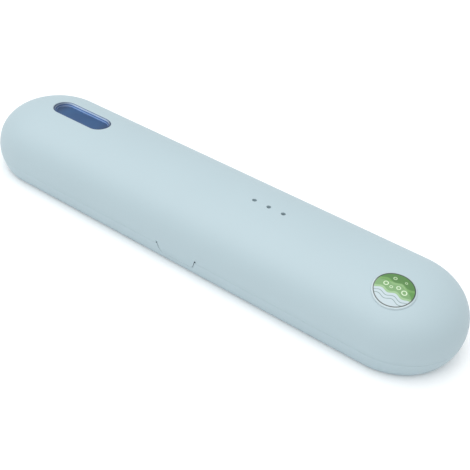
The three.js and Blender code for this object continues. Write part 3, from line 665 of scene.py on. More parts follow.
def across_clasp(section, outline, deep):
    """A section of insets and heights run across the front, kept inside an outline seen from there."""
    turned_out = [(front(inset), height) for inset, height in section]
    band = prism("x", turned_out, CLASP_X - TONGUE_TOP_WIDTH, CLASP_X + TONGUE_TOP_WIDTH)
    return combine(band, "INTERSECT", [prism("y", outline, front(-OVERRUN), front(deep))])


def clasp_tongue():
    root = LAP_TOP + TONGUE_THICKNESS
    inner = SEAM_INSET + TONGUE_THICKNESS
    rooted = SEAM + 2 * SEAM_EDGE
    section = stretch(tuck(), TONGUE_BOTTOM, SEAM, PAD_STEPS) + [
        (SEAM_INSET, rooted),
        (SEAM_INSET + GAP, rooted),
        (SEAM_INSET + GAP, root),
        (inner, root),
        (inner, BEAD_MIDDLE + BEAD_HEIGHT / 2),
        (inner + BEAD_DEPTH, BEAD_MIDDLE),
        (inset_at(tuck(), TONGUE_BOTTOM) + TONGUE_THICKNESS, TONGUE_BOTTOM),
    ]
    return across_clasp(section, tongue_outline(root), WALL + CLASP_PAD)


def relief_slits():
    """The two slits beside the tongue's root, which let it bend."""
    low = SEAM - OVERRUN
    cutters = []
    for side in (1, -1):
        outline = [
            (CLASP_X + side * tongue_edge(low), low),
            (CLASP_X + side * (tongue_edge(low) + TONGUE_SIDE_FIT), low),
            (CLASP_X + side * (tongue_edge(RELIEF_TOP) + RELIEF_WIDTH), RELIEF_TOP),
            (CLASP_X + side * tongue_edge(RELIEF_TOP), RELIEF_TOP),
        ]
        cutters.append(prism("y", outline, front(-OVERRUN), front(WALL + OVERRUN)))
    return cutters


def clasp_notch():
    """The hollow in the base that the tongue and its bead lie in."""
    top = LIP_TOP + OVERRUN
    low = TONGUE_BOTTOM - TONGUE_FOOT_FIT
    floor = SEAM_INSET + TONGUE_THICKNESS + GAP
    section = [
        (-OVERRUN, low),
        (-OVERRUN, top),
        (floor, top),
        (floor, BEAD_MIDDLE + BEAD_HEIGHT / 2 + GAP),
        (floor + BEAD_DEPTH, BEAD_MIDDLE + GAP),
        (floor + BEAD_DEPTH, BEAD_MIDDLE - GAP),
        (inset_at(tuck(), low) + TONGUE_THICKNESS + GAP, low),
    ]
    outline = tongue_outline(top, TONGUE_SIDE_FIT, TONGUE_FOOT_FIT)
    return across_clasp(section, outline, WALL + CLASP_PAD + OVERRUN)


def wall_pad(side, middle, half, face, top):
    """A thickening on the inside of the front (-1) or the back (1) wall of the base."""
    section = stretch(tuck(ROOT_DEPTH), ROOT_HEIGHT, top, PAD_STEPS) + [
        (face, top),
        (face, FLOOR),
        (TUCK + WALL, ROOT_HEIGHT),
    ]
    outline = [(side * (END_RADIUS - inset), height) for inset, height in section]
    return prism("x", outline, middle - half, middle + half)


def barrel(radius, middle, length):
    return prism("x", disc(radius, HINGE_Y, SEAM), middle - length / 2, middle + length / 2)


def knuckle(side, middle, length):
    """A hinge knuckle whose web runs smoothly up the lid (side 1) or down the base (side -1)."""
    root_height = SEAM + side * WEB_REACH
    root_inset = (0 if side > 0 else inset_at(tuck(), root_height)) + WALL / 2
    root = Vector((END_RADIUS - root_inset - HINGE_Y, side * WEB_REACH))
    tangent = math.degrees(math.atan2(abs(root.y), root.x) - math.acos(BARREL / root.length))
    round_part = [(u, SEAM + side * (v - SEAM)) for u, v in arc(HINGE_Y, SEAM, BARREL, tangent, -180)]
    outline = [(END_RADIUS - root_inset, root_height)] + round_part
    made = prism("x", outline, middle - length / 2, middle + length / 2)
    return bevel(made, KNUCKLE_EDGE, 3, ROUND_CREASE_ANGLE)


def hinge_cuts(length, offsets):
    places = [x + offset for x in HINGE_STATIONS for offset in offsets]
    return [barrel(BARREL + GAP, x, length + 2 * GAP) for x in places]


def pin_bores():
    return [barrel(PIN + GAP, x, 2 * (KNUCKLE_OFFSET + BASE_KNUCKLE)) for x in HINGE_STATIONS]


# Lid

def window_outline(spread):
    return stadium(WINDOW_LENGTH, WINDOW_WIDTH, WINDOW.x, WINDOW.y, spread)


def window_slot():
    deep, out = WINDOW_PAD_LOW - OVERRUN, HEIGHT + OVERRUN
    return flared("z", window_outline, dome_height, SLOT_EDGE, deep, out)


def vent(centre):
    def outline(spread):
        return disc(VENT_RADIUS + spread, centre.x, centre.y)
    return flared("z", outline, dome_height, VENT_EDGE, HEIGHT - 2 * WALL, HEIGHT + OVERRUN)


magnet_low, magnet_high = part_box("lid_magnet")
MAGNET = middle("lid_magnet")
MAGNET_RADIUS = (magnet_high.x - magnet_low.x) / 2
MAGNET_BLOCK_WALL = 1 * MM
MAGNET_EDGE = 0.2 * MM


def lid_shell():
    """The domed lid with its window slot, vents, clasp tongue, magnet block and knuckles."""
    inner = stretch(dome(WALL), LAP_TOP, HEIGHT)
    lower = stretch(tuck(), SEAM, BELT, BELT_STEPS)
    section = soften(
        plain(inner[:0:-1])
        + [
            (inner[0][0], LAP_TOP, LAP_EDGE),
            (SKIRT_INSET, LAP_TOP, LAP_EDGE),
            (SKIRT_INSET, SEAM, SEAM_EDGE),
            (*lower[0], SEAM_EDGE),
        ]
        + plain(lower[1:-1])
        + plain(stretch(dome(), BELT, HEIGHT))
    )
    lid = around_case(section)
    pad = prism("z", window_outline(WINDOW_PAD_MARGIN), WINDOW_PAD_LOW, HEIGHT - WALL + GAP)
    half = MAGNET_RADIUS + GAP + MAGNET_BLOCK_WALL
    magnet_block = block(
        (MAGNET.x - half, MAGNET.y - half, LAP_TOP),
        (MAGNET.x + half, END_RADIUS - WALL / 2, magnet_high.z + MAGNET_BLOCK_WALL),
    )
    knuckles = [knuckle(1, x, LID_KNUCKLE) for x in HINGE_STATIONS]
    combine(lid, "UNION", [clasp_tongue(), pad, magnet_block, *knuckles])
    magnet_ring = disc(MAGNET_RADIUS + GAP, MAGNET.x, MAGNET.y)
    magnet_hole = prism("z", magnet_ring, LAP_TOP - OVERRUN, magnet_high.z)
    cutters = [window_slot(), magnet_hole, *[vent(v) for v in VENTS], *relief_slits()]
    cutters += hinge_cuts(BASE_KNUCKLE, [-KNUCKLE_OFFSET, KNUCKLE_OFFSET]) + pin_bores()
    combine(lid, "DIFFERENCE", cutters)
    return case_skin.shade(lid)


LENS_FLANGE = 1 * MM
LENS_EDGE = 0.2 * MM
LENS_FIT = 0.1 * MM
LENS_RIM_DROP = 0.3 * MM
LENS_RIM = 0.4 * MM
LENS_RIM_EDGE = 0.22 * MM
LENS_FLOOR_DROP = 1.8 * MM
LENS_FILLET = 0.5 * MM
LENS_DRAFT = 1 * MM


def window_lens():
    """A shallow tinted dish with a rounded rim, on a flange glued under the lid."""
    flange = window_high.x - WINDOW.x - WINDOW_LENGTH / 2
    low, seat = window_low.z, window_low.z + LENS_FLANGE
    rim, floor = HEIGHT - LENS_RIM_DROP, HEIGHT - LENS_FLOOR_DROP
    inner = -LENS_FIT - LENS_RIM
    section = soften([
        (flange, low, LENS_EDGE),
        (flange, seat, LENS_EDGE),
        (-LENS_FIT, seat, 0),
        (-LENS_FIT, rim, LENS_EDGE / 2),
        (inner, rim, LENS_RIM_EDGE),
        (inner - LENS_DRAFT, floor, LENS_FILLET),
        (-WINDOW_WIDTH / 2 + GAP, floor, 0),
        (-WINDOW_WIDTH / 2 + GAP, low, 0),
    ])[:-1]
    layers = [(window_outline(spread), height) for spread, height in section]
    return smooth(stack("z", layers), ROUND_CREASE_ANGLE)


def lid_magnet():
    half = (magnet_high.z - magnet_low.z) / 2
    return smooth(rod(MAGNET_RADIUS, -half, half, MAGNET_EDGE, MAGNET))


# Sticker: a printed disc under a dome of clear resin that follows the lid
sticker_low, sticker_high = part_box("sticker")
STICKER_RADIUS = (sticker_high.x - sticker_low.x) / 2
STICKER_EDGE_HEIGHT = 0.38 * MM
STICKER_CROWN = 0.25 * MM
STICKER_EDGE_RUN = 0.4 * MM
STICKER_BACK_LIFT = 0.02 * MM
STICKER_FACE_LIFT = 0.04 * MM
STICKER_FLAT_STEPS = 12
STICKER_EDGE_STEPS = 8
ON_DOME_STEPS = 8


def sticker_frame():
    """The sticker's centre on the dome, with its two directions along it and one out of it."""
    x, y, _ = middle("sticker")
    centre = Vector((x, y, dome_height(x, y)))
    out = case_skin.normal(centre)
    along = (Vector((1, 0, 0)) - out * out.x).normalized()
    return centre, along, out.cross(along), out


def sticker():
    centre, along, across, out = sticker_frame()

    def on_dome(reach, angle, lift):
        """The place on the dome, found in a few steps along the sticker's own direction outwards."""
        point = centre + (along * math.cos(angle) + across * math.sin(angle)) * reach
        for _ in range(ON_DOME_STEPS):
            point = point - out * (point.z - dome_height(point.x, point.y)) * out.z
        return tuple(point + out * lift)

    def height_at(reach):
        share = max(0, 1 - (STICKER_RADIUS - reach) / STICKER_EDGE_RUN)
        side = math.sqrt(max(0, 1 - share * share))
        return STICKER_EDGE_HEIGHT * side + STICKER_CROWN * (1 - (reach / STICKER_RADIUS) ** 2)

    turns = [math.radians(360 * i / ARC_STEPS) for i in range(ARC_STEPS)]
    flat = STICKER_RADIUS - STICKER_EDGE_RUN
    reaches = [flat * k / STICKER_FLAT_STEPS for k in range(STICKER_FLAT_STEPS + 1)]
    for k in range(1, STICKER_EDGE_STEPS + 1):
        reaches.append(flat + STICKER_EDGE_RUN * math.sin(math.radians(90 * k / STICKER_EDGE_STEPS)))
    lifts = [(reach, STICKER_BACK_LIFT) for reach in reaches]
    lifts += [(reach, STICKER_FACE_LIFT + height_at(reach)) for reach in reversed(reaches)]
    rings = [[on_dome(reach, a, lift) for a in turns] for reach, lift in lifts]
    obj = smooth(place("sticker", skin(rings, capped=False)), ROUND_CREASE_ANGLE)
    plane = obj.data.uv_layers.new(name="sticker_plane")
    for loop in obj.data.loops:
        co = obj.data.vertices[loop.vertex_index].co - centre
        plane.data[loop.index].uv = (co.dot(along) / MM, co.dot(across) / MM)
    return obj


# Base

board_low, board_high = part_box("main_board")
port_low, port_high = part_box("usb_port")
button_low, button_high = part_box("power_button")
tray_low, tray_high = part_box("inner_tray")
lamp_board_low, lamp_board_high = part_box("uv_lamp_board")

CONTROL_HEIGHT = middle("usb_port").z
PORT_X = middle("usb_port").x
PORT_WIDTH = port_high.x - port_low.x
PORT_HEIGHT = port_high.z - port_low.z
BUTTON_X = middle("power_button").x
BUTTON_WIDTH = 8 * MM
BUTTON_HEIGHT = button_high.z - button_low.z
BUTTON_WING = 1.5 * MM
BUTTON_PAD_INSET = 3.8 * MM
BUTTON_PAD_MARGIN = 1.2 * MM
PIPE_X = middle("light_pipe").x
PIPE_RADIUS = 1 * MM
BOSS_RADIUS = 2.9 * MM
BOARD_BOSS_RADIUS = 2 * MM
SCREW_HOLE = 1.3 * MM
BOARD_SCREW_HOLE = 1 * MM
TRAY_SCREWS = ["tray_screw_head_end", "tray_screw_handle_end", "tray_screw_front", "tray_screw_back"]
BOARD_SCREWS = ["board_screw_left", "board_screw_right"]
LAMPS = ["uv_lamp_1", "uv_lamp_2", "uv_lamp_3"]
STAKE_BOSS_RADIUS = 2 * MM
STAKE_RADIUS = 0.8 * MM
STAKE_HEAD = 0.5 * MM
STAKE_HEAD_SHARE = 0.7
BOARD_CORNER = 1 * MM


def port_outline(spread):
    return stadium(PORT_WIDTH, PORT_HEIGHT, PORT_X, CONTROL_HEIGHT, spread)


def button_outline(spread):
    return stadium(BUTTON_WIDTH, BUTTON_HEIGHT, BUTTON_X, CONTROL_HEIGHT, spread)


def pipe_outline(spread):
    return disc(PIPE_RADIUS + spread, PIPE_X, CONTROL_HEIGHT)


def wall_hole(outline):
    def loose(spread):
        return outline(GAP + spread)
    return flared("y", loose, back_wall, WALL_HOLE_EDGE, board_high.y, END_RADIUS + OVERRUN)


def stake_places():
    """Where stakes hold the lamp board, halfway between the lamps."""
    centres = [middle(lamp).x for lamp in LAMPS]
    return [(a + b) / 2 for a, b in zip(centres, centres[1:])]


def base_shell():
    """The base with its lip, bosses, stakes, pads, knuckles, clasp notch and openings at the back."""
    outer = stretch(tuck(), 0, SEAM)
    inner = stretch(tuck(WALL), FLOOR, SEAM, FLOOR_STEPS)
    section = soften(
        [(END_RADIUS, 0, 0)]
        + plain(outer[:-1])
        + [
            (*outer[-1], SEAM_EDGE),
            (SKIRT_INSET + GAP, SEAM, SEAM_EDGE),
            (SKIRT_INSET + GAP, LIP_TOP, LAP_EDGE),
            (SEAM_INSET + WALL, LIP_TOP, LAP_EDGE),
        ]
        + plain(inner[1:][::-1])
        + [(inner[0][0], FLOOR, 0), (END_RADIUS, FLOOR, 0)]
    )
    base = around_case(section)
    bosses = []
    cutters = [clasp_notch(), *hinge_cuts(LID_KNUCKLE, [0]), *pin_bores()]
    for nodes, radius, hole, floor, top in (
        (TRAY_SCREWS, BOSS_RADIUS, SCREW_HOLE, FLOOR + GAP, tray_low.z),
        (BOARD_SCREWS, BOARD_BOSS_RADIUS, BOARD_SCREW_HOLE, FLOOR / 2, board_low.z),
    ):
        for at in map(middle, nodes):
            bosses.append(prism("z", disc(radius, at.x, at.y), ROOT_HEIGHT, top))
            cutters.append(prism("z", disc(hole, at.x, at.y), floor, top + OVERRUN))
    for x in stake_places():
        bosses.append(prism("z", disc(STAKE_BOSS_RADIUS, x), ROOT_HEIGHT, lamp_board_low.z))
        stake = [
            (STAKE_RADIUS, lamp_board_low.z - GAP),
            (STAKE_RADIUS, lamp_board_high.z + STAKE_HEAD / 2),
            (STAKE_RADIUS * STAKE_HEAD_SHARE, lamp_board_high.z + STAKE_HEAD),
        ]
        bosses.append(turned(stake, (x, 0, 0)))
    bosses.append(wall_pad(-1, CLASP_X, CLASP_PAD_HALF, CLASP_PAD_INSET, SEAM))
    button_pad_half = BUTTON_WIDTH / 2 + BUTTON_PAD_MARGIN + BUTTON_WING
    bosses.append(wall_pad(1, BUTTON_X, button_pad_half, BUTTON_PAD_INSET, tray_low.z - GAP))
    for x in HINGE_STATIONS:
        for side in (-1, 1):
            bosses.append(knuckle(-1, x + side * KNUCKLE_OFFSET, BASE_KNUCKLE))
    combine(base, "UNION", bosses)
    cutters += [wall_hole(outline) for outline in (port_outline, button_outline, pipe_outline)]
    combine(base, "DIFFERENCE", cutters)
    return case_skin.shade(base)


# Tray and brush rests

TRAY_EDGE = 0.25 * MM
TRAY_RIM = 0.8 * MM
TRAY_RIM_WIDTH = 1.2 * MM
DECK = tray_high.z - TRAY_RIM
LAMP_LENS_LENGTH = 30 * MM
LAMP_LENS_WIDTH = 11 * MM
LAMP_LENS_LEDGE = 1.5 * MM
LAMP_LENS_CORNER = 1.5 * MM
TENON = 3 * MM
TENON_SHARE = 0.6
TENON_CORNER = TENON / 4
REST_TOP_SHARE = 0.84
REST_CORNER = 1.5 * MM
REST_EDGE = 0.7 * MM
REST_STEPS = 24
# Each rest with its notch's radius and the height of the notch's middle
RESTS = {"neck_rest": (3.5 * MM, 20 * MM), "handle_rest": (7 * MM, 17.3 * MM)}


def tenon(node, spread=0):
    """The outline of the foot that holds a brush rest in the tray."""
    low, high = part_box(node)
    at = middle(node)
    width = (high.y - low.y) * TENON_SHARE
    return rounded_box(TENON + 2 * spread, width + 2 * spread, TENON_CORNER, at.x, at.y)


def inner_tray():
    """A moulded dish with a rounded rim, its holes softened where they meet the deck."""
    inset = inset_at(tuck(), tray_low.z) + WALL + GAP
    inner = inset + TRAY_RIM_WIDTH
    section = soften([
        (END_RADIUS, tray_low.z, 0),
        (inset, tray_low.z, TRAY_EDGE),
        (inset, tray_high.z, TRAY_EDGE),
        (inner, tray_high.z, TRAY_EDGE),
        (inner + TRAY_RIM / 2, DECK, 2 * TRAY_EDGE),
        (END_RADIUS, DECK, 0),
    ])
    tray = around_case(section)
    below, above = tray_low.z - OVERRUN, tray_high.z + OVERRUN

    def deck_hole(outline, deep=below):
        return flared("z", outline, lambda u, v: DECK, TRAY_EDGE, deep, above)

    def lens_seat(spread):
        length, width = LAMP_LENS_LENGTH + 2 * spread, LAMP_LENS_WIDTH + 2 * spread
        return rounded_box(length + 2 * GAP, width + 2 * GAP, LAMP_LENS_CORNER + spread, WINDOW.x)

    length, width = LAMP_LENS_LENGTH - 2 * LAMP_LENS_LEDGE, LAMP_LENS_WIDTH - 2 * LAMP_LENS_LEDGE
    lamp_opening = rounded_box(length, width, LAMP_LENS_CORNER, WINDOW.x)
    cutters = [
        deck_hole(lens_seat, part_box("uv_lens")[0].z),
        prism("z", lamp_opening, below, above),
        block(
            (CLASP_X - CLASP_PAD_HALF - GAP, front(-OVERRUN), below),
            (CLASP_X + CLASP_PAD_HALF + GAP, front(CLASP_PAD_INSET + GAP), above),
        ),
    ]
    for at in map(middle, TRAY_SCREWS):
        cutters.append(deck_hole(lambda s, at=at: disc(SCREW_HOLE + s, at.x, at.y)))
    for rest in RESTS:
        cutters.append(deck_hole(lambda s, rest=rest: tenon(rest, GAP + s)))
    return smooth(combine(tray, "DIFFERENCE", cutters))


def brush_rest(node):
    """A silicone block with a round notch, its mouth and all its edges well rounded."""
    low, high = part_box(node)
    radius, notch_height = RESTS[node]

    def outline(inset):
        half, top, hollow = high.y - inset, high.z - inset, radius + inset
        shoulder, corner = high.y * REST_TOP_SHARE - inset, REST_CORNER - inset
        rise = min(top - notch_height, 0)
        start = math.degrees(math.asin(rise / hollow))
        mouth = hollow * math.cos(math.radians(start))
        notch = arc(0, notch_height, hollow, start, -180 - start, REST_STEPS)
        return soften([
            (-half, DECK, 0),
            (half, DECK, 0),
            (shoulder, top, corner),
            (mouth, top, REST_EDGE),
            *plain(notch[1:-1]),
            (-mouth, top, REST_EDGE),
            (-shoulder, top, corner),
        ])

    layers = [(outline(REST_EDGE * left), REST_EDGE * out) for out, left in quarter_turn()]
    rest = from_both_ends("x", layers, low.x, high.x)
    foot = prism("z", tenon(node), low.z, DECK + REST_EDGE + GAP)
    return smooth(combine(rest, "UNION", [foot]), REST_CREASE_ANGLE)


# Lamps under their clear cover

lamp_low, lamp_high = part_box("uv_lamp_1")
LAMP = middle("uv_lamp_1")
LAMP_PITCH = middle("uv_lamp_2").x - LAMP.x
LAMP_SIZE = lamp_high.x - lamp_low.x
LAMP_FRAME = 0.35 * MM
LAMP_WINDOW = 0.35 * MM
LAMP_PAD = 1.7 * MM
LAMP_CHIP = 1.1 * MM
LAMP_STEP = 0.08 * MM
FINE_EDGE = 0.12 * MM


def soft_block(low, high, edge=FINE_EDGE):
    """A block with its edges softened, as the mould leaves them."""
    return bevel(block(low, high), edge)


def plate(node, corner, holes=()):
    """A flat plate over a node's place, with rounded corners, softened edges and round holes."""
    low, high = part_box(node)
    centre = middle(node)
    outline = rounded_box(high.x - low.x, high.y - low.y, corner, centre.x, centre.y)
    made = prism("z", outline, low.z, high.z)
    if holes:
        tools = [prism("z", disc(r, x, y), low.z - OVERRUN, high.z + OVERRUN) for x, y, r in holes]
        combine(made, "DIFFERENCE", tools)
    return smooth(bevel(made, FINE_EDGE, angle=ROUND_CREASE_ANGLE))


def lamp_square(size, corner=LAMP_FRAME):
    return rounded_box(size, size, corner, LAMP.x, LAMP.y)


def on_each_lamp(piece, finish):
    return smooth(grow(piece, ROW_TREE, finish, count=len(LAMPS), spacing=(LAMP_PITCH, 0, 0)))


def lamp_housings(finish):
    """Three ceramic cups, each with a raised frame round its chip."""
    cup = soft_block(lamp_low, lamp_high - Vector((0, 0, LAMP_WINDOW)))
    hollow = prism("z", lamp_square(LAMP_SIZE - 2 * LAMP_FRAME), lamp_low.z + LAMP_FRAME, lamp_high.z)
    return on_each_lamp(combine(cup, "DIFFERENCE", [hollow]), finish)


def lamp_windows(finish):
    """A thin pane of quartz on each cup."""
    pane = prism("z", lamp_square(LAMP_SIZE - LAMP_FRAME), lamp_high.z - LAMP_WINDOW, lamp_high.z)
    return on_each_lamp(bevel(pane, FINE_EDGE / 2, angle=ROUND_CREASE_ANGLE), finish)


def lamp_dies(finish):
    """The square emitter in each cup, on its raised pad."""
    pad, chip = lamp_square(LAMP_PAD, FINE_EDGE), lamp_square(LAMP_CHIP, FINE_EDGE)
    base = lamp_low.z + LAMP_FRAME
    raised, top = base + LAMP_STEP, base + 2 * LAMP_STEP
    return on_each_lamp(stack("z", [(pad, base), (pad, raised), (chip, raised), (chip, top)]), finish)


# Screws and pins

# By the sizes of the screws' CAD solids
TRAY_SCREW = {"radius": 1 * MM, "length": 5 * MM, "head_radius": 2.1 * MM, "head_height": 1.2 * MM}
BOARD_SCREW = {"radius": 0.7 * MM, "length": 2.2 * MM, "head_radius": 1.4 * MM, "head_height": 0.9 * MM}
PIN_EDGE = 0.2 * MM

# A screw's tip and thread as shares of its radius, and a turn's foot and crest as shares of its pitch
SCREW_TIP_SHARE = 1 / 3
THREAD_PITCH_SHARE = 0.7
THREAD_DEPTH_SHARE = 0.14
THREAD_TURN_SHARES = (0.2, 0.5)

# A screw's head and its cross drive, as shares of the head's radius and height
HEAD_EDGE_SHARE = 0.18
HEAD_DOME_SHARES = [(1, 0.45), (0.93, 0.75), (0.75, 0.92), (0.4, 1)]
DRIVE_REACH_SHARE = 0.62
DRIVE_HALF_SHARE = 0.12
DRIVE_DEPTH_SHARE = 0.6
DRIVE_TAPER_SHARES = (0.45, 0.9)


def screw(radius, length, head_radius, head_height):
    """A pan-head screw with its seat at height 0: threaded shank, domed head and cross drive."""
    pitch, core = radius * THREAD_PITCH_SHARE, radius - radius * THREAD_DEPTH_SHARE
    foot, crest = (pitch * share for share in THREAD_TURN_SHARES)
    tip_end = -length + radius
    edge = head_height * HEAD_EDGE_SHARE
    profile = [(radius * SCREW_TIP_SHARE, -length), (core, tip_end)]
    for k in range(int((length - radius) / pitch)):
        profile += [(core, tip_end + k * pitch + foot), (radius, tip_end + k * pitch + crest)]
    profile += [(core, 0), (head_radius - edge, 0), (head_radius, edge)]
    profile += [(head_radius * reach, head_height * rise) for reach, rise in HEAD_DOME_SHARES]
    reach, half = head_radius * DRIVE_REACH_SHARE, head_radius * DRIVE_HALF_SHARE
    depth = head_height * DRIVE_DEPTH_SHARE
    along, across = DRIVE_TAPER_SHARES
    wings = []
    for a, b, a_taper, b_taper in ((reach, half, along, across), (half, reach, across, along)):
        top = [(-a, -b), (a, -b), (a, b), (-a, b)]
        floor = [(u * a_taper, v * b_taper) for u, v in top]
        wings.append(stack("z", [(floor, head_height - depth), (top, head_height + depth)]))
    return smooth(combine(turned(profile, (0, 0, 0)), "DIFFERENCE", wings), SHARP_CREASE_ANGLE)


def screws(nodes, pattern, finish):
    seats = [(middle(node).x, middle(node).y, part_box(node)[0].z + pattern["length"]) for node in nodes]
    return smooth(at_seats(screw(**pattern), seats, finish), SHARP_CREASE_ANGLE)


def hinge_pins(finish):
    """Two ground pins with chamfered ends."""
    half = (pin_high.x - pin_low.x) / 2
    pin = rod(PIN, -half, half, PIN_EDGE, (0, 0, 0), "x")
    return smooth(at_seats(pin, [(x, HINGE_Y, SEAM) for x in HINGE_STATIONS], finish))


# Controls in the back wall

PORT_WALL = 0.3 * MM
PORT_CAVITY = 6 * MM
# The sleeve's rounded back, as shares of its wall: how far out from its side, and how far forward
PORT_BACK_SHARES = [(-1, 0), (-1 / 3, 1 / 6), (0, 1)]
# Width, thickness and length
PORT_TONGUE = (6.7 * MM, 0.7 * MM, 4.6 * MM)
PORT_COLLAR_SHARE = 0.25
PORT_CONTACTS = 12
PORT_CONTACT_PITCH = 0.5 * MM
PORT_CONTACT_RISE = 0.03 * MM
PORT_CONTACT_END_SHARE = 0.88
BUTTON_EDGE = 0.4 * MM
BUTTON_DISH = 0.12 * MM
BUTTON_DISH_SHARE = 0.98
BUTTON_DISH_STEPS = 6
BUTTON_WING_THICKNESS = 0.8 * MM
BUTTON_WING_HALF = 1 * MM
PIPE_COLLAR = 1.5 * MM
PIPE_COLLAR_LENGTH = 0.7 * MM
PIPE_DOME = 0.25 * MM
PIPE_DOME_STEPS = 9
SWITCH_BORE = 0.8 * MM + GAP
SWITCH_BORE_ROOM = 0.8 * MM


def port_sleeve():
    """A deep-drawn sleeve: its lip is rolled over the thickness of the wall."""
    back, lip = port_low.y, port_high.y
    roll = PORT_WALL / 2
    steps = 2 * EDGE_STEPS
    stations = [(PORT_WALL * out, back + PORT_WALL * ahead) for out, ahead in PORT_BACK_SHARES]
    for k in range(steps + 1):
        turn = math.radians(180 * k / steps)
        stations.append((-roll + roll * math.cos(turn), lip - roll + roll * math.sin(turn)))
    stations.append((-PORT_WALL, lip - PORT_CAVITY))
    layers = [(port_outline(spread), y) for spread, y in stations]
    return smooth(stack("y", layers), SHARP_CREASE_ANGLE)


def port_tongue():
    width, thickness, length = PORT_TONGUE
    centre = Vector((PORT_X, port_high.y - PORT_CAVITY, CONTROL_HEIGHT))
    parts = []
    for half_height, reach in ((thickness / 2, length), (thickness, length * PORT_COLLAR_SHARE)):
        low = centre + Vector((-width / 2, 0, -half_height))
        parts.append(soft_block(low, centre + Vector((width / 2, reach, half_height))))
    return smooth(combine(parts[0], "UNION", parts[1:]))


def port_contacts(finish):
    """A row of gold pads above and below the tongue."""
    _, thickness, length = PORT_TONGUE
    start = PORT_X - PORT_CONTACT_PITCH * (PORT_CONTACTS - 1) / 2
    back = port_high.y - PORT_CAVITY
    half, rise = PORT_CONTACT_PITCH / 4, thickness / 2 + PORT_CONTACT_RISE
    pad = block(
        (start - half, back + length * PORT_COLLAR_SHARE, CONTROL_HEIGHT - rise),
        (start + half, back + length * PORT_CONTACT_END_SHARE, CONTROL_HEIGHT + rise),
    )
    return grow(pad, ROW_TREE, finish, count=PORT_CONTACTS, spacing=(PORT_CONTACT_PITCH, 0, 0))


def power_button():
    """An oval cap that follows the wall, slightly dished for a fingertip, with wings that keep it in."""
    proud = button_high.y - back_wall(0, button_high.z)
    back = button_low.y
    rises = [(-BUTTON_EDGE * out, proud - BUTTON_EDGE * left) for out, left in quarter_turn()]
    room = BUTTON_HEIGHT / 2 - BUTTON_EDGE
    for k in range(1, BUTTON_DISH_STEPS + 1):
        share = k / BUTTON_DISH_STEPS
        dip = BUTTON_DISH * math.sin(math.radians(90 * share))
        rises.append((-BUTTON_EDGE - room * share * BUTTON_DISH_SHARE, proud - dip))
    layers = [[(u, v, back) for u, v in button_outline(0)]]
    for spread, lift in rises:
        layers.append([(u, v, back_wall(u, v) + lift) for u, v in button_outline(spread)])
    half = BUTTON_WIDTH / 2 + BUTTON_WING
    wings = soft_block(
        (BUTTON_X - half, back, CONTROL_HEIGHT - BUTTON_WING_HALF),
        (BUTTON_X + half, back + BUTTON_WING_THICKNESS, CONTROL_HEIGHT + BUTTON_WING_HALF),
    )
    return smooth(combine(layered("y", layers), "UNION", [wings]), SHARP_CREASE_ANGLE)


def light_pipe():
    """A clear moulded pin with a collar behind the wall and a domed face."""
    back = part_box("light_pipe")[0].y
    step = back + PIPE_COLLAR_LENGTH
    profile = [(PIPE_COLLAR - FINE_EDGE, back), (PIPE_COLLAR, back + FINE_EDGE)]
    profile += [(PIPE_COLLAR, step), (PIPE_RADIUS, step)]
    face = back_wall(PIPE_X, CONTROL_HEIGHT)
    for k in range(PIPE_DOME_STEPS):
        turn = math.radians(90 * k / PIPE_DOME_STEPS)
        profile.append((PIPE_RADIUS * math.cos(turn), face + PIPE_DOME * math.sin(turn)))
    return smooth(turned(profile, (PIPE_X, 0, CONTROL_HEIGHT), "y"), SHARP_CREASE_ANGLE)


def tact_switch():
    """A switch body with the bore that its plunger slides in."""
    low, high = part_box("tact_switch")
    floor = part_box("switch_plunger")[0].y - SWITCH_BORE_ROOM
    bore = prism("y", disc(SWITCH_BORE, BUTTON_X, CONTROL_HEIGHT), floor, high.y + OVERRUN)
    return smooth(combine(soft_block(low, high), "DIFFERENCE", [bore]))


def switch_plunger():
    low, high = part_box("switch_plunger")
    radius = (high.x - low.x) / 2
    return smooth(rod(radius, low.y, high.y, FINE_EDGE, (BUTTON_X, 0, CONTROL_HEIGHT), "y"))


# Board parts

TAPE_EDGE = 0.08 * MM
# Each chip with how far its body is set in, its legs along one side and their pitch
CHIPS = [("control_chip", 0.7 * MM, 4, 1.27 * MM), ("hall_sensor", 0.25 * MM, 2, 1.9 * MM)]
CHIP_STANDOFF = 0.1 * MM
CHIP_DRAFT = 0.08 * MM
CHIP_DIMPLE = 0.25 * MM
CHIP_DIMPLE_DEPTH = 0.08 * MM
CHIP_DIMPLE_SHARES = (0.14, 0.32)
LEG_THICKNESS = 0.15 * MM
LEG_WIDTH_SHARE = 0.32
CAPACITOR = (0.8 * MM, 1.6 * MM, 0.7 * MM)
CAPACITOR_PLACE = (1 * MM, 3.4 * MM)
CAPACITOR_PITCH = 1.8 * MM
CAPACITORS = 4
SOCKET_WALL = 0.5 * MM
LATCH_SHARE = 1 / 3
PLUG_HOLE = 0.6 * MM
PLUG_HOLE_DEPTH = 1 * MM
POUCH_EDGE = 1.4 * MM
POUCH_EDGE_SHARE = 0.8
POUCH_CORNER = 1.2 * MM
LEAD_RADIUS = 0.45 * MM
LEAD_SPACING = 2 * MM
LEAD_FACETS = 12
LEAD_STATIONS = 48
LEAD_BEND_SHARES = (0.15, 0.5, 0.85)


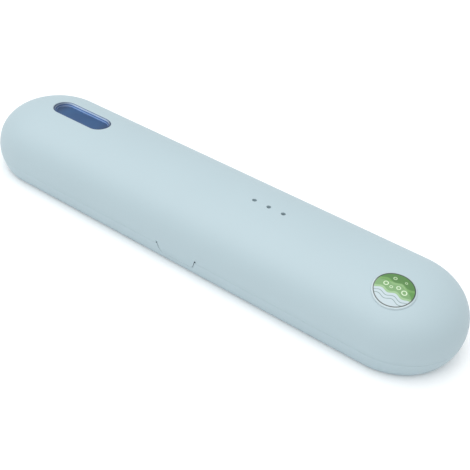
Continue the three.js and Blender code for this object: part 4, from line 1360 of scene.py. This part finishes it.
def chip_body(node, shrink):
    """An epoxy body with drafted sides, set in from its legs, with a dimple at the first leg."""
    low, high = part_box(node)
    centre = middle(node)
    length, depth = high.x - low.x, high.y - low.y - 2 * shrink

    def outline(spread):
        return rounded_box(length - 2 * spread, depth - 2 * spread, FINE_EDGE, centre.x, centre.y)

    sides = [(CHIP_DRAFT, low.z + CHIP_STANDOFF), (0, centre.z), (CHIP_DRAFT, high.z)]
    body = stack("z", [(outline(spread), z) for spread, z in sides])
    bevel(body, FINE_EDGE / 2, angle=ROUND_CREASE_ANGLE)
    along, across = CHIP_DIMPLE_SHARES
    ring = disc(CHIP_DIMPLE, low.x + length * along, centre.y - depth * across)
    dimple = prism("z", ring, high.z - CHIP_DIMPLE_DEPTH, high.z + OVERRUN)
    return smooth(combine(body, "DIFFERENCE", [dimple]))


def chip_legs(node, shrink, count, pitch, finish):
    """Gull-wing legs along both long sides of a chip."""
    low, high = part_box(node)
    centre = middle(node)
    half = pitch * LEG_WIDTH_SHARE / 2
    start = centre.x - pitch * (count - 1) / 2
    outer = (high.y - low.y) / 2
    inner = outer - shrink
    knee = (inner + outer) / 2
    profile = [
        (inner - LEG_THICKNESS, centre.z),
        (knee, centre.z),
        (knee + LEG_THICKNESS, low.z + LEG_THICKNESS),
        (outer, low.z + LEG_THICKNESS),
        (outer, low.z),
        (knee, low.z),
        (knee - LEG_THICKNESS, centre.z - LEG_THICKNESS),
        (inner - LEG_THICKNESS, centre.z - LEG_THICKNESS),
    ]
    legs = [
        prism("x", [(centre.y + side * v, w) for v, w in profile], start - half, start + half)
        for side in (1, -1)
    ]
    both = combine(legs[0], "UNION", legs[1:])
    return grow(both, ROW_TREE, finish, count=count, spacing=(pitch, 0, 0))


def board_capacitors(finish):
    """Ceramic capacitors in a row beside the switch."""
    beside, inward = CAPACITOR_PLACE
    start = Vector((BUTTON_X - beside, board_low.y + inward, board_high.z))
    body = soft_block(start, start + Vector(CAPACITOR))
    return smooth(grow(body, ROW_TREE, finish, count=CAPACITORS, spacing=(CAPACITOR_PITCH, 0, 0)))


def plug_socket():
    """A shrouded socket: a nylon box with its mouth towards the plug and a slot for the latch."""
    low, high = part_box("battery_socket")
    centre = middle("battery_socket")
    mouth = block(
        (low.x + 2 * SOCKET_WALL, low.y + SOCKET_WALL, low.z + SOCKET_WALL),
        (high.x + OVERRUN, high.y - SOCKET_WALL, high.z - SOCKET_WALL),
    )
    latch_half = (high.y - low.y) * LATCH_SHARE / 2
    slot = block(
        (high.x - 2 * SOCKET_WALL, centre.y - latch_half, centre.z),
        (high.x + OVERRUN, centre.y + latch_half, high.z + OVERRUN),
    )
    return smooth(combine(soft_block(low, high), "DIFFERENCE", [mouth, slot]))


def battery_plug():
    """A plug housing with the two holes that its leads enter."""
    low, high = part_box("battery_plug")
    centre = middle("battery_plug")
    rings = [disc(PLUG_HOLE, centre.y + side * LEAD_SPACING / 2, centre.z) for side in (1, -1)]
    holes = [prism("x", ring, high.x - PLUG_HOLE_DEPTH, high.x + OVERRUN) for ring in rings]
    return smooth(combine(soft_block(low, high), "DIFFERENCE", holes))


def battery():
    """A pouch cell: the foil is drawn over the stack in a soft pillow."""
    low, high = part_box("battery")
    centre = middle("battery")
    layers = []
    for out, left in quarter_turn():
        inset = POUCH_EDGE * left * POUCH_EDGE_SHARE
        length, width = high.x - low.x - 2 * inset, high.y - low.y - 2 * inset
        layers.append((rounded_box(length, width, POUCH_CORNER, centre.x, centre.y), POUCH_EDGE * out))
    return smooth(from_both_ends("z", layers, low.z, high.z), ROUND_CREASE_ANGLE)


def lead(route, finish):
    size = {"radius": LEAD_RADIUS, "facets": LEAD_FACETS, "stations": LEAD_STATIONS}
    return smooth(grow(points(route, True), LEAD_TREE, finish, **size), ROUND_CREASE_ANGLE)


def battery_lead(side, finish):
    """From the plug to the battery, by the same five points as the solid's route."""
    plug_end, battery_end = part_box("battery_plug")[1].x + GAP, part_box("battery")[0].x - GAP
    high, low = middle("battery_plug").z, middle("battery").z
    plug_y = middle("battery_plug").y + side * LEAD_SPACING / 2
    battery_y = side * LEAD_SPACING
    first, halfway, last = (plug_end + (battery_end - plug_end) * share for share in LEAD_BEND_SHARES)
    return lead([
        (plug_end, plug_y, high),
        (first, plug_y, high),
        (halfway, (plug_y + battery_y) / 2, (high + low) / 2),
        (last, battery_y, low),
        (battery_end, battery_y, low),
    ], finish)


def lamp_lead(node, finish):
    """From the main board over its edge to the lamp board."""
    x = middle(node).x
    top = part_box(node)[1].z - LEAD_RADIUS
    board_y = board_low.y + LEAD_SPACING
    lamp_y = lamp_board_high.y - LEAD_SPACING / 2
    return lead([
        (x, board_y, board_high.z + GAP),
        (x, board_y, top - LEAD_SPACING / 2),
        (x, board_y - LEAD_SPACING, top),
        (x, lamp_y + LEAD_SPACING / 2, top),
        (x, lamp_y, lamp_board_high.z + GAP),
    ], finish)


# Case colours
ABS_DEEP = "#AEC1C8"
ABS_PALE = "#B2C5CC"

# The sticker's print, in millimetres on its own plane
STICKER_MARGIN = 0.65
RING = 0.4
WAVE_LENGTH = 5.4
WAVE_HEIGHT = 0.45
WAVE_INKS = [("#7BA86C", -2.2), ("#4F8A38", -1.3), ("#64994B", 1.9), ("#457B33", 2.9)]
BUBBLES = [
    (-3.6, 0.7, 0.95),
    (-1.3, 0.1, 0.6),
    (1.1, 1.0, 0.8),
    (3.7, 0.2, 1.05),
    (-1.9, 4.4, 0.7),
    (2.3, 4.6, 0.5),
]
BUBBLE_HOLE_SHARE = 0.66
RIPPLES = [-3.4, -4.7]
RIPPLE = 0.13
INK_BLUR = 0.08

# Studio
TENT_STRENGTH = 0.63
KEY_PLACE = (-0.1, -0.1, 0.85)
KEY_SIZE = 1.1
KEY_POWER = 6.85
FLOOR_SIZE = 6
FLOOR_GLOW = 0.11


# Materials

# The sockets of a colour mix: its share, and its colours at a share of 0 and of 1
MIX_SHARE, MIX_FROM, MIX_TO = 0, 6, 7


def linear(code):
    """The linear colour of an sRGB hex value, as four numbers."""
    parts = [int(code[i:i + 2], 16) / 255 for i in (1, 3, 5)]
    curve = [p / 12.92 if p <= 0.04045 else ((p + 0.055) / 1.055) ** 2.4 for p in parts]
    return (*curve, 1)


def begin(name):
    """A new material, its empty tree, and the coordinates of the object it is on."""
    material = bpy.data.materials.new(name)
    material.use_nodes = True
    tree = material.node_tree
    tree.nodes.clear()
    return material, tree, add(tree, "ShaderNodeTexCoord").outputs["Object"]


def complete(material, tree, **values):
    """Ends a material in its shader, whose inputs are named with underscores for spaces."""
    inputs = {label.replace("_", " "): value for label, value in values.items()}
    shader = add(tree, "ShaderNodeBsdfPrincipled", inputs)
    add(tree, "ShaderNodeOutputMaterial", {"Surface": shader})
    return material


def marked(name, colours, gloss, mark, detail, depth=0, stretched=None, distortion=0, **values):
    """A material whose making leaves marks of one size, which shift its colour, gloss and level alike.

    A pair of colours or of roughnesses goes from one end of the marks to the other, and a single one
    is the same all over. The depth is that of the marks, and the stretch makes them longer one way.
    """
    material, tree, where = begin(name)
    if stretched:
        where = add(tree, "ShaderNodeMapping", {"Vector": where, "Scale": stretched})
    marks = add(tree, "ShaderNodeTexNoise", {
        "Vector": where,
        "Scale": 1 / mark,
        "Detail": detail,
        "Distortion": distortion,
    })
    if isinstance(colours, str):
        values["Base_Color"] = linear(colours)
    else:
        ends = {MIX_SHARE: marks, MIX_FROM: linear(colours[0]), MIX_TO: linear(colours[1])}
        values["Base_Color"] = add(tree, "ShaderNodeMix", ends, data_type="RGBA")
    if isinstance(gloss, float):
        values["Roughness"] = gloss
    else:
        ends = {"Value": marks, "To Min": gloss[0], "To Max": gloss[1]}
        values["Roughness"] = add(tree, "ShaderNodeMapRange", ends)
    if depth:
        values["Normal"] = add(tree, "ShaderNodeBump", {"Height": marks, "Distance": depth})
    return complete(material, tree, **values)


def satin_moulded_abs():
    """ABS moulded against a spark-eroded tool: even and satin, so highlights are broad and soft.

    The eroded grain is about 0.1 mm, too fine to show, so it is drawn at 0.3 mm and very shallow.
    The colour drifts a little over a hand's breadth, as the melt cools, and the walls sink by some
    hundredths of a millimetre over the ribs, which unsettles the sheen.
    """
    material, tree, where = begin("satin_moulded_abs")
    drift = add(tree, "ShaderNodeTexNoise", {"Vector": where, "Scale": 1 / (40 * MM), "Detail": 2})
    drifting = {MIX_SHARE: drift, MIX_FROM: linear(ABS_DEEP), MIX_TO: linear(ABS_PALE)}
    grain = add(tree, "ShaderNodeTexNoise", {
        "Vector": where,
        "Scale": 1 / (0.3 * MM),
        "Detail": 3,
        "Roughness": 0.7,
    })
    sink = add(tree, "ShaderNodeTexNoise", {"Vector": where, "Scale": 1 / (22 * MM), "Detail": 1})
    slow = add(tree, "ShaderNodeBump", {"Height": sink, "Distance": 0.03 * MM})
    return complete(
        material, tree,
        Base_Color=add(tree, "ShaderNodeMix", drifting, data_type="RGBA"),
        Roughness=add(tree, "ShaderNodeMapRange", {"Value": grain, "To Min": 0.48, "To Max": 0.62}),
        IOR=1.53,
        Normal=add(tree, "ShaderNodeBump", {"Height": grain, "Distance": 0.004 * MM, "Normal": slow}),
    )


def glossy_white_abs():
    """White ABS from a polished tool: brighter and glossier than the case, with faint flow lines.

    The flow lines are 8 mm apart across the tray, and only a few thousandths of a millimetre deep.
    """
    return marked(
        "glossy_white_abs", ("#CDD2D4", "#D6DADB"), (0.24, 0.32),
        mark=8 * MM, detail=1, depth=0.008 * MM, stretched=(0.3, 1, 1), IOR=1.53,
    )


# The lens's colours from its floor, at 0, to its rim, at 1: its blue tint, with two pale bands that are
# painted highlights and a dark line at the rim's top that is a painted shadow
LENS_TINT_AND_PAINTED_LIGHT = [
    (0.05, "#275A8B"),
    (0.14, "#3C6FB4"),
    (0.22, "#A9CBF8"),
    (0.34, "#A9CBF8"),
    (0.42, "#2F66B2"),
    (0.56, "#3A72BE"),
    (0.66, "#D6E9FF"),
    (0.93, "#D6E9FF"),
    (0.98, "#34568A"),
]
# Painted shade at the lens's round ends: where it begins, as a share of the half length, and how much of
# it there is at the ends
LENS_END_SHADE_START = 0.55
LENS_PAINTED_END_SHADE = 0.7


def polished_tinted_acrylic():
    """Acrylic coloured by a blue dye, from a polished tool: deep and glossy, with painted highlights
    along its edges.

    Two pale bands are painted highlights, on its rim and in the corner round its floor, and a dark line
    at the rim's top is a painted shadow. Painted shade darkens it towards its round ends. The dye clouds
    slightly over 8 mm, and the polished face swims by a hundredth of a millimetre.
    """
    material, tree, where = begin("polished_tinted_acrylic")
    axes = add(tree, "ShaderNodeSeparateXYZ", {"Vector": where}).outputs
    rise = add(tree, "ShaderNodeMapRange", {
        "Value": axes["Z"],
        "From Min": HEIGHT - LENS_FLOOR_DROP,
        "From Max": HEIGHT - LENS_RIM_DROP,
    })
    # Painted light by height: the blue tint with pale bands of painted highlight and a dark line of
    # painted shadow at the rim
    tint_and_painted_light = add(tree, "ShaderNodeValToRGB", {"Fac": rise})
    stops = tint_and_painted_light.color_ramp.elements
    stops.remove(stops[1])
    stops[0].position, stops[0].color = LENS_TINT_AND_PAINTED_LIGHT[0][0], linear(LENS_TINT_AND_PAINTED_LIGHT[0][1])
    for position, code in LENS_TINT_AND_PAINTED_LIGHT[1:]:
        stops.new(position).color = linear(code)
    cloud = add(tree, "ShaderNodeTexNoise", {"Vector": where, "Scale": 1 / (8 * MM), "Detail": 2})
    clouded = {MIX_SHARE: cloud, MIX_FROM: linear("#B4C4D6"), MIX_TO: linear("#FFFFFF")}
    dye = add(tree, "ShaderNodeMix", clouded, data_type="RGBA")
    tint = {MIX_SHARE: 1.0, MIX_FROM: tint_and_painted_light, MIX_TO: dye}
    dyed_with_painted_light = add(tree, "ShaderNodeMix", tint, data_type="RGBA", blend_type="MULTIPLY")
    # Painted shade: the colour is mixed towards a dark blue as it nears the lens's round ends
    along = add(tree, "ShaderNodeMath", {0: axes["X"], 1: WINDOW.x}, operation="SUBTRACT")
    end = add(tree, "ShaderNodeMapRange", {
        "Value": add(tree, "ShaderNodeMath", {0: along}, operation="ABSOLUTE"),
        "From Min": LENS_END_SHADE_START * WINDOW_LENGTH / 2,
        "From Max": WINDOW_LENGTH / 2,
        "To Max": LENS_PAINTED_END_SHADE,
    }, interpolation_type="SMOOTHSTEP")
    shaded = {MIX_SHARE: end, MIX_FROM: dyed_with_painted_light, MIX_TO: linear("#26344C")}
    swim = add(tree, "ShaderNodeTexNoise", {"Vector": where, "Scale": 1 / (5 * MM), "Detail": 1})
    return complete(
        material, tree,
        Base_Color=add(tree, "ShaderNodeMix", shaded, data_type="RGBA"),
        Roughness=0.05,
        IOR=1.49,
        Transmission_Weight=0.15,
        Normal=add(tree, "ShaderNodeBump", {"Height": swim, "Distance": 0.015 * MM}),
    )


def clear_moulded_acrylic():
    """Water-clear acrylic from a polished tool: almost invisible but for its bright edges.

    Its faces keep shallow swirls 4 mm across, where the melt met.
    """
    return marked(
        "clear_moulded_acrylic", ("#EAF4F7", "#F6FAFB"), 0.04,
        mark=4 * MM, detail=1, depth=0.01 * MM, IOR=1.49, Transmission_Weight=1.0,
    )


def fused_quartz():
    """A lapped quartz pane: clear and hard, with the lowest of glints.

    The lapping leaves marks of 0.1 mm, drawn at 0.2 mm so that they show at all.
    """
    return marked(
        "fused_quartz", "#F7FAFF", (0.02, 0.08),
        mark=0.2 * MM, detail=2, depth=0.001 * MM, IOR=1.46, Transmission_Weight=1.0,
    )


def printed_vinyl_under_resin():
    """Printed vinyl under poured clear resin: flat inks below a thick, glassy, slightly domed coat.

    The print is a plain pattern: green waves with bubbles over a pale field, inside a dark ring.
    Its lengths are millimetres on the sticker's own plane.
    """
    material, tree, _ = begin("printed_vinyl_under_resin")
    plane = add(tree, "ShaderNodeUVMap", uv_map="sticker_plane")
    axes = add(tree, "ShaderNodeSeparateXYZ", {"Vector": plane}).outputs
    phase = add(tree, "ShaderNodeMath", {0: axes["X"], 1: math.tau / WAVE_LENGTH}, operation="MULTIPLY")
    swing = add(tree, "ShaderNodeMath", {0: phase}, operation="SINE")
    crest = add(tree, "ShaderNodeMath", {0: swing, 1: WAVE_HEIGHT}, operation="MULTIPLY")
    wave = add(tree, "ShaderNodeMath", {0: crest, 1: axes["Y"]}, operation="SUBTRACT")

    def ink(under, code, reading, limit):
        """A flat colour printed where a reading lies below a limit."""
        mask = add(tree, "ShaderNodeMapRange", {
            "Value": reading,
            "From Min": limit - INK_BLUR,
            "From Max": limit + INK_BLUR,
            "To Min": 1.0,
            "To Max": 0.0,
        }, interpolation_type="SMOOTHSTEP")
        printed = {MIX_SHARE: mask, MIX_FROM: under, MIX_TO: linear(code)}
        return add(tree, "ShaderNodeMix", printed, data_type="RGBA")

    colour = linear("#ADBFC6")
    for level in RIPPLES:
        off = add(tree, "ShaderNodeMath", {0: wave, 1: level}, operation="ADD")
        line = add(tree, "ShaderNodeMath", {0: off}, operation="ABSOLUTE")
        colour = ink(colour, "#5C7A78", line, RIPPLE)
    for code, level in WAVE_INKS:
        colour = ink(colour, code, wave, -level)
    for u, v, radius in BUBBLES:
        away = add(tree, "ShaderNodeVectorMath", {0: plane, 1: (u, v, 0)}, operation="DISTANCE")
        colour = ink(colour, "#C6DDB9", away, radius)
        colour = ink(colour, "#4F8A38", away, radius * BUBBLE_HOLE_SHARE)
    rim = add(tree, "ShaderNodeVectorMath", {0: plane}, operation="LENGTH")
    outside = add(tree, "ShaderNodeMath", {0: rim, 1: -1.0}, operation="MULTIPLY")
    field = STICKER_RADIUS / MM - STICKER_MARGIN
    colour = ink(colour, "#22352F", outside, RING - field)
    colour = ink(colour, "#B4C6CC", outside, -field)
    return complete(
        material, tree,
        Base_Color=colour,
        Roughness=0.3,
        IOR=1.5,
        Coat_Weight=1.0,
        Coat_Roughness=0.03,
        Coat_IOR=1.5,
    )


def cast_silicone():
    """Soft cast silicone: milky, half matt, and a little light goes in and comes out again.

    Fine talc from the mould dulls it in specks of about 0.2 mm, and it clouds over 9 mm.
    """
    material, tree, where = begin("cast_silicone")
    talc = add(tree, "ShaderNodeTexNoise", {"Vector": where, "Scale": 1 / (0.2 * MM), "Detail": 4})
    cloud = add(tree, "ShaderNodeTexNoise", {"Vector": where, "Scale": 1 / (9 * MM), "Detail": 2})
    clouded = {MIX_SHARE: cloud, MIX_FROM: linear("#C3D3DC"), MIX_TO: linear("#D3E0E7")}
    return complete(
        material, tree,
        Base_Color=add(tree, "ShaderNodeMix", clouded, data_type="RGBA"),
        Roughness=add(tree, "ShaderNodeMapRange", {"Value": talc, "To Min": 0.45, "To Max": 0.75}),
        IOR=1.41,
        Subsurface_Weight=0.3,
        Subsurface_Radius=(1 * MM, 1.1 * MM, 1.2 * MM),
        Subsurface_Scale=1.0,
        Normal=add(tree, "ShaderNodeBump", {"Height": talc, "Distance": 0.006 * MM}),
    )


def solder_masked_board(name, mask, traced, copper_rise):
    """Glass laminate under solder mask: a thin glossy lacquer that shows the copper beneath it.

    Traces run 0.9 mm apart with 0.24 mm of bare laminate between them, and the weave of the glass,
    0.4 mm, only unsettles the lacquer's gloss.
    """
    material, tree, where = begin(name)
    tracks = add(tree, "ShaderNodeTexBrick", {
        "Vector": where,
        "Color1": linear(traced),
        "Color2": linear(traced),
        "Mortar": linear(mask),
        "Scale": 1.0,
        "Mortar Size": 0.12 * MM,
        "Mortar Smooth": 0.3,
        "Brick Width": 13 * MM,
        "Row Height": 0.9 * MM,
    }, offset=0.37, offset_frequency=3)
    weave = add(tree, "ShaderNodeTexVoronoi", {"Vector": where, "Scale": 1 / (0.4 * MM)})
    raised = {"Height": tracks.outputs["Fac"], "Distance": copper_rise}
    return complete(
        material, tree,
        Base_Color=tracks,
        Roughness=add(tree, "ShaderNodeMapRange", {"Value": weave, "To Min": 0.25, "To Max": 0.4}),
        IOR=1.52,
        Normal=add(tree, "ShaderNodeBump", raised),
    )


def sintered_alumina():
    """Sintered alumina: chalk white with a fine, dry grain of 0.1 mm, drawn at 0.2 mm."""
    return marked(
        "sintered_alumina", ("#DDD8C6", "#F1EDDD"), 0.55,
        mark=0.2 * MM, detail=3, depth=0.006 * MM, IOR=1.77,
    )


def moulded_black_resin():
    """Glass-filled black resin: dull charcoal, flecked by its filler at about 0.15 mm."""
    return marked(
        "moulded_black_resin", ("#141517", "#2C2E31"), (0.4, 0.65),
        mark=0.15 * MM, detail=4, depth=0.004 * MM, IOR=1.55,
    )


def natural_nylon():
    """Unpigmented nylon: creamy, faintly see-through at its edges, with a waxy sheen.

    The melt leaves clouds of 2 mm.
    """
    return marked(
        "natural_nylon", ("#E2D8BE", "#F2EBD8"), (0.38, 0.55),
        mark=2 * MM, detail=2, IOR=1.53,
        Subsurface_Weight=0.15, Subsurface_Radius=(0.6 * MM, 0.5 * MM, 0.4 * MM), Subsurface_Scale=1.0,
    )


def pouch_foil():
    """Aluminium foil laminate drawn round the cell: bright, softly creased every 5 mm or so."""
    return marked(
        "pouch_foil", ("#AEB3B8", "#CED2D5"), (0.22, 0.42),
        mark=5 * MM, detail=4, depth=0.15 * MM, distortion=0.6, Metallic=1.0,
    )


def foamed_acrylic():
    """Acrylic foam tape: dull white with open cells of about 0.3 mm."""
    material, tree, where = begin("foamed_acrylic")
    cells = add(tree, "ShaderNodeTexVoronoi", {"Vector": where, "Scale": 1 / (0.3 * MM)})
    celled = {MIX_SHARE: cells, MIX_FROM: linear("#C9C9C4"), MIX_TO: linear("#EFEFEA")}
    return complete(
        material, tree,
        Base_Color=add(tree, "ShaderNodeMix", celled, data_type="RGBA"),
        Roughness=0.95,
        Normal=add(tree, "ShaderNodeBump", {"Height": cells, "Distance": 0.05 * MM}),
    )


def extruded_pvc(name, *colours):
    """Extruded PVC insulation: smooth and waxy, its gloss mottled over 0.4 mm."""
    return marked(name, colours, (0.28, 0.45), mark=0.4 * MM, detail=2, IOR=1.54)


def metal(name, colours, gloss, mark, depth, stretched=None):
    """A metal whose making leaves marks of one size, longer in one direction where it was drawn."""
    return marked(name, colours, gloss, mark, 3, depth, stretched, Metallic=1.0)


# Camera and studio

CAMERA_AZIMUTH = math.radians(30.732)
CAMERA_ELEVATION = math.radians(37.202)
CAMERA_ROLL = math.radians(7.027)
CAMERA_TARGET = Vector((6.819, 8.465, 0)) * MM
CAMERA_DISTANCE = 349.555 * MM
CAMERA_NEAR = 10 * MM
CAMERA_FAR = 20
SENSOR = 36
FOCAL_PIXELS = 838.899
PHOTO_PIXELS = 470


def camera():
    """The camera that was fitted to the photograph's outline, with its own roll."""
    scene = bpy.context.scene
    back = Vector((
        math.sin(CAMERA_AZIMUTH) * math.cos(CAMERA_ELEVATION),
        -math.cos(CAMERA_AZIMUTH) * math.cos(CAMERA_ELEVATION),
        math.sin(CAMERA_ELEVATION),
    ))
    right = Vector((math.cos(CAMERA_AZIMUTH), math.sin(CAMERA_AZIMUTH), 0))
    up = back.cross(right)
    rolled_right = right * math.cos(CAMERA_ROLL) + up * math.sin(CAMERA_ROLL)
    rolled_up = up * math.cos(CAMERA_ROLL) - right * math.sin(CAMERA_ROLL)
    data = bpy.data.cameras.new("camera")
    data.sensor_width = SENSOR
    data.lens = FOCAL_PIXELS / PHOTO_PIXELS * SENSOR
    data.clip_start = CAMERA_NEAR
    data.clip_end = CAMERA_FAR
    scene.camera = place("camera", data)
    turn = Matrix((rolled_right, rolled_up, back)).transposed().to_4x4()
    scene.camera.matrix_world = Matrix.Translation(CAMERA_TARGET + back * CAMERA_DISTANCE) @ turn


def studio():
    """An even white tent, one softbox high in front, and a faintly lit table of white acrylic."""
    world = bpy.data.worlds.new("studio")
    world.use_nodes = True
    background = world.node_tree.nodes["Background"]
    background.inputs["Color"].default_value = linear("#FFFFFF")
    background.inputs["Strength"].default_value = TENT_STRENGTH
    bpy.context.scene.world = world
    data = bpy.data.lights.new("softbox", "AREA")
    data.shape = "SQUARE"
    data.size = KEY_SIZE
    data.energy = KEY_POWER
    key = place("softbox", data)
    aim = (-Vector(KEY_PLACE)).to_track_quat("-Z", "Y").to_matrix().to_4x4()
    key.matrix_world = Matrix.Translation(KEY_PLACE) @ aim
    half = FLOOR_SIZE / 2
    mesh = bpy.data.meshes.new("table")
    corners = [(-half, -half, 0), (half, -half, 0), (half, half, 0), (-half, half, 0)]
    mesh.from_pydata(corners, [], [(0, 1, 2, 3)])
    table = place("table", mesh)
    material, tree, where = begin("white_acrylic_table")
    cloud = add(tree, "ShaderNodeTexNoise", {"Vector": where, "Scale": 1 / (30 * MM), "Detail": 2})
    clouded = {MIX_SHARE: cloud, MIX_FROM: linear("#F4F6F7"), MIX_TO: linear("#F8F9FA")}
    white = add(tree, "ShaderNodeMix", clouded, data_type="RGBA")
    lit = {"Emission_Color": white, "Emission_Strength": FLOOR_GLOW}
    table.data.materials.append(complete(material, tree, Base_Color=white, Roughness=0.8, **lit))
    bpy.context.scene.view_settings.view_transform = "Standard"


# Assembly

def finished(obj, name, body, nodes=(), finish=None):
    """Names a piece, gives it its material, and puts it on its body in place of its CAD nodes."""
    obj.name = name
    obj.data.name = name
    if finish:
        obj.data.materials.clear()
        obj.data.materials.append(finish)
        obj.data.polygons.foreach_set("material_index", [0] * len(obj.data.polygons))
    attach(obj, body)
    if nodes:
        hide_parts(*nodes)
    return obj


abs_shell = satin_moulded_abs()
white_abs = glossy_white_abs()
tinted = polished_tinted_acrylic()
clear = clear_moulded_acrylic()
quartz = fused_quartz()
silicone = cast_silicone()
ceramic = sintered_alumina()
black_resin = moulded_black_resin()
nylon = natural_nylon()
green_board = solder_masked_board("green_solder_mask", "#12472E", "#1F6B45", 0.02 * MM)
white_board = solder_masked_board("white_solder_mask", "#D2D2CB", "#DADAD3", 0.015 * MM)
red_pvc = extruded_pvc("red_pvc", "#9C2620", "#B8322B")
black_pvc = extruded_pvc("black_pvc", "#18191B", "#26272A")

# Zinc over steel has a cool, mottled brightness, marked at 0.6 mm by the plating bath.
zinc_plate = metal(
    "zinc_plated_steel", ("#B3B9BF", "#D5D8D9"), (0.22, 0.4), 0.6 * MM, 0.004 * MM
)
# Ground pins show fine lines round them, 0.15 mm apart.
ground_steel = metal(
    "ground_steel", ("#B4B7BA", "#CDD0D2"), (0.16, 0.32), 0.15 * MM, 0.002 * MM, (1, 0.1, 0.1)
)
# The drawn sleeve keeps streaks along the draw, 0.1 mm wide.
drawn_steel = metal(
    "drawn_stainless_steel", ("#A9ADB1", "#C9CCCF"), (0.18, 0.35), 0.1 * MM, 0.002 * MM, (1, 0.1, 1)
)
# Nickel plate is warmer and almost a mirror, with orange peel of 0.8 mm.
nickel_plate = metal(
    "nickel_plate", ("#C4C0B6", "#D9D6CE"), (0.1, 0.2), 0.8 * MM, 0.003 * MM
)
# Gold flash over nickel on the contacts, with tool marks of 0.1 mm.
gold_flash = metal(
    "gold_flash", ("#C9993F", "#E8C06A"), (0.15, 0.3), 0.1 * MM, 0.001 * MM, (1, 0.2, 1)
)
# The emitter is a violet-grey crystal on its gold pad, stepped at 0.1 mm.
emitter_crystal = metal(
    "emitter_crystal", ("#5C5470", "#8B83A3"), (0.15, 0.3), 0.1 * MM, 0.001 * MM
)

finished(lid_shell(), "lid_shell_moulding", "lid", ["lid_shell"], abs_shell)
finished(window_lens(), "window_lens_dish", "lid", ["window_lens"], tinted)
finished(lid_magnet(), "lid_magnet_disc", "lid", ["lid_magnet"], nickel_plate)
finished(sticker(), "resin_sticker", "lid", ["sticker"], printed_vinyl_under_resin())

finished(base_shell(), "base_shell_moulding", "base", ["base_shell"], abs_shell)
finished(inner_tray(), "inner_tray_moulding", "base", ["inner_tray"], white_abs)
for node in RESTS:
    finished(brush_rest(node), node + "_block", "base", [node], silicone)
finished(plate("uv_lens", LAMP_LENS_CORNER - GAP), "uv_lens_pane", "base", ["uv_lens"], clear)
lamp_board = plate("uv_lamp_board", BOARD_CORNER, [(x, 0, STAKE_RADIUS + GAP) for x in stake_places()])
finished(lamp_board, "uv_lamp_board_plate", "base", ["uv_lamp_board"], white_board)
finished(lamp_housings(ceramic), "uv_lamp_housings", "base", LAMPS)
finished(lamp_windows(quartz), "uv_lamp_windows", "base")
finished(lamp_dies(emitter_crystal), "uv_lamp_emitters", "base")
finished(screws(TRAY_SCREWS, TRAY_SCREW, zinc_plate), "tray_screws", "base", TRAY_SCREWS)
finished(screws(BOARD_SCREWS, BOARD_SCREW, zinc_plate), "board_screws", "base", BOARD_SCREWS)
finished(hinge_pins(ground_steel), "hinge_pins", "base", HINGE_PINS)

board_holes = [(middle(name).x, middle(name).y, BOARD_SCREW_HOLE) for name in BOARD_SCREWS]
main_board = plate("main_board", BOARD_CORNER, board_holes)
finished(main_board, "main_board_plate", "base", ["main_board"], green_board)
finished(port_sleeve(), "port_sleeve", "base", ["usb_port"], drawn_steel)
finished(port_tongue(), "port_tongue", "base", finish=black_resin)
finished(port_contacts(gold_flash), "port_contacts", "base")
finished(tact_switch(), "tact_switch_body", "base", ["tact_switch"], black_resin)
finished(light_pipe(), "light_pipe_pin", "base", ["light_pipe"], clear)
status_led = smooth(soft_block(*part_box("status_led")))
finished(status_led, "status_led_body", "base", ["status_led"], clear)
for node, shrink, legs, pitch in CHIPS:
    finished(chip_body(node, shrink), node + "_body", "base", [node], black_resin)
    finished(chip_legs(node, shrink, legs, pitch, nickel_plate), node + "_legs", "base")
finished(board_capacitors(ceramic), "board_capacitors", "base")
finished(plug_socket(), "battery_socket_shroud", "base", ["battery_socket"], nylon)
finished(battery_plug(), "battery_plug_housing", "base", ["battery_plug"], nylon)
finished(battery(), "battery_pouch", "base", ["battery"], pouch_foil())
tape = smooth(soft_block(*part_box("battery_tape"), TAPE_EDGE))
finished(tape, "battery_foam_tape", "base", ["battery_tape"], foamed_acrylic())
finished(battery_lead(1, red_pvc), "battery_lead_positive", "base", ["battery_lead_red"])
finished(battery_lead(-1, black_pvc), "battery_lead_negative", "base", ["battery_lead_black"])
finished(lamp_lead("lamp_lead_red", red_pvc), "lamp_lead_positive", "base", ["lamp_lead_red"])
finished(lamp_lead("lamp_lead_black", black_pvc), "lamp_lead_negative", "base", ["lamp_lead_black"])

finished(power_button(), "power_button_cap", "button", ["power_button"], abs_shell)
finished(switch_plunger(), "switch_plunger_pin", "button", ["switch_plunger"], nylon)

camera()
studio()
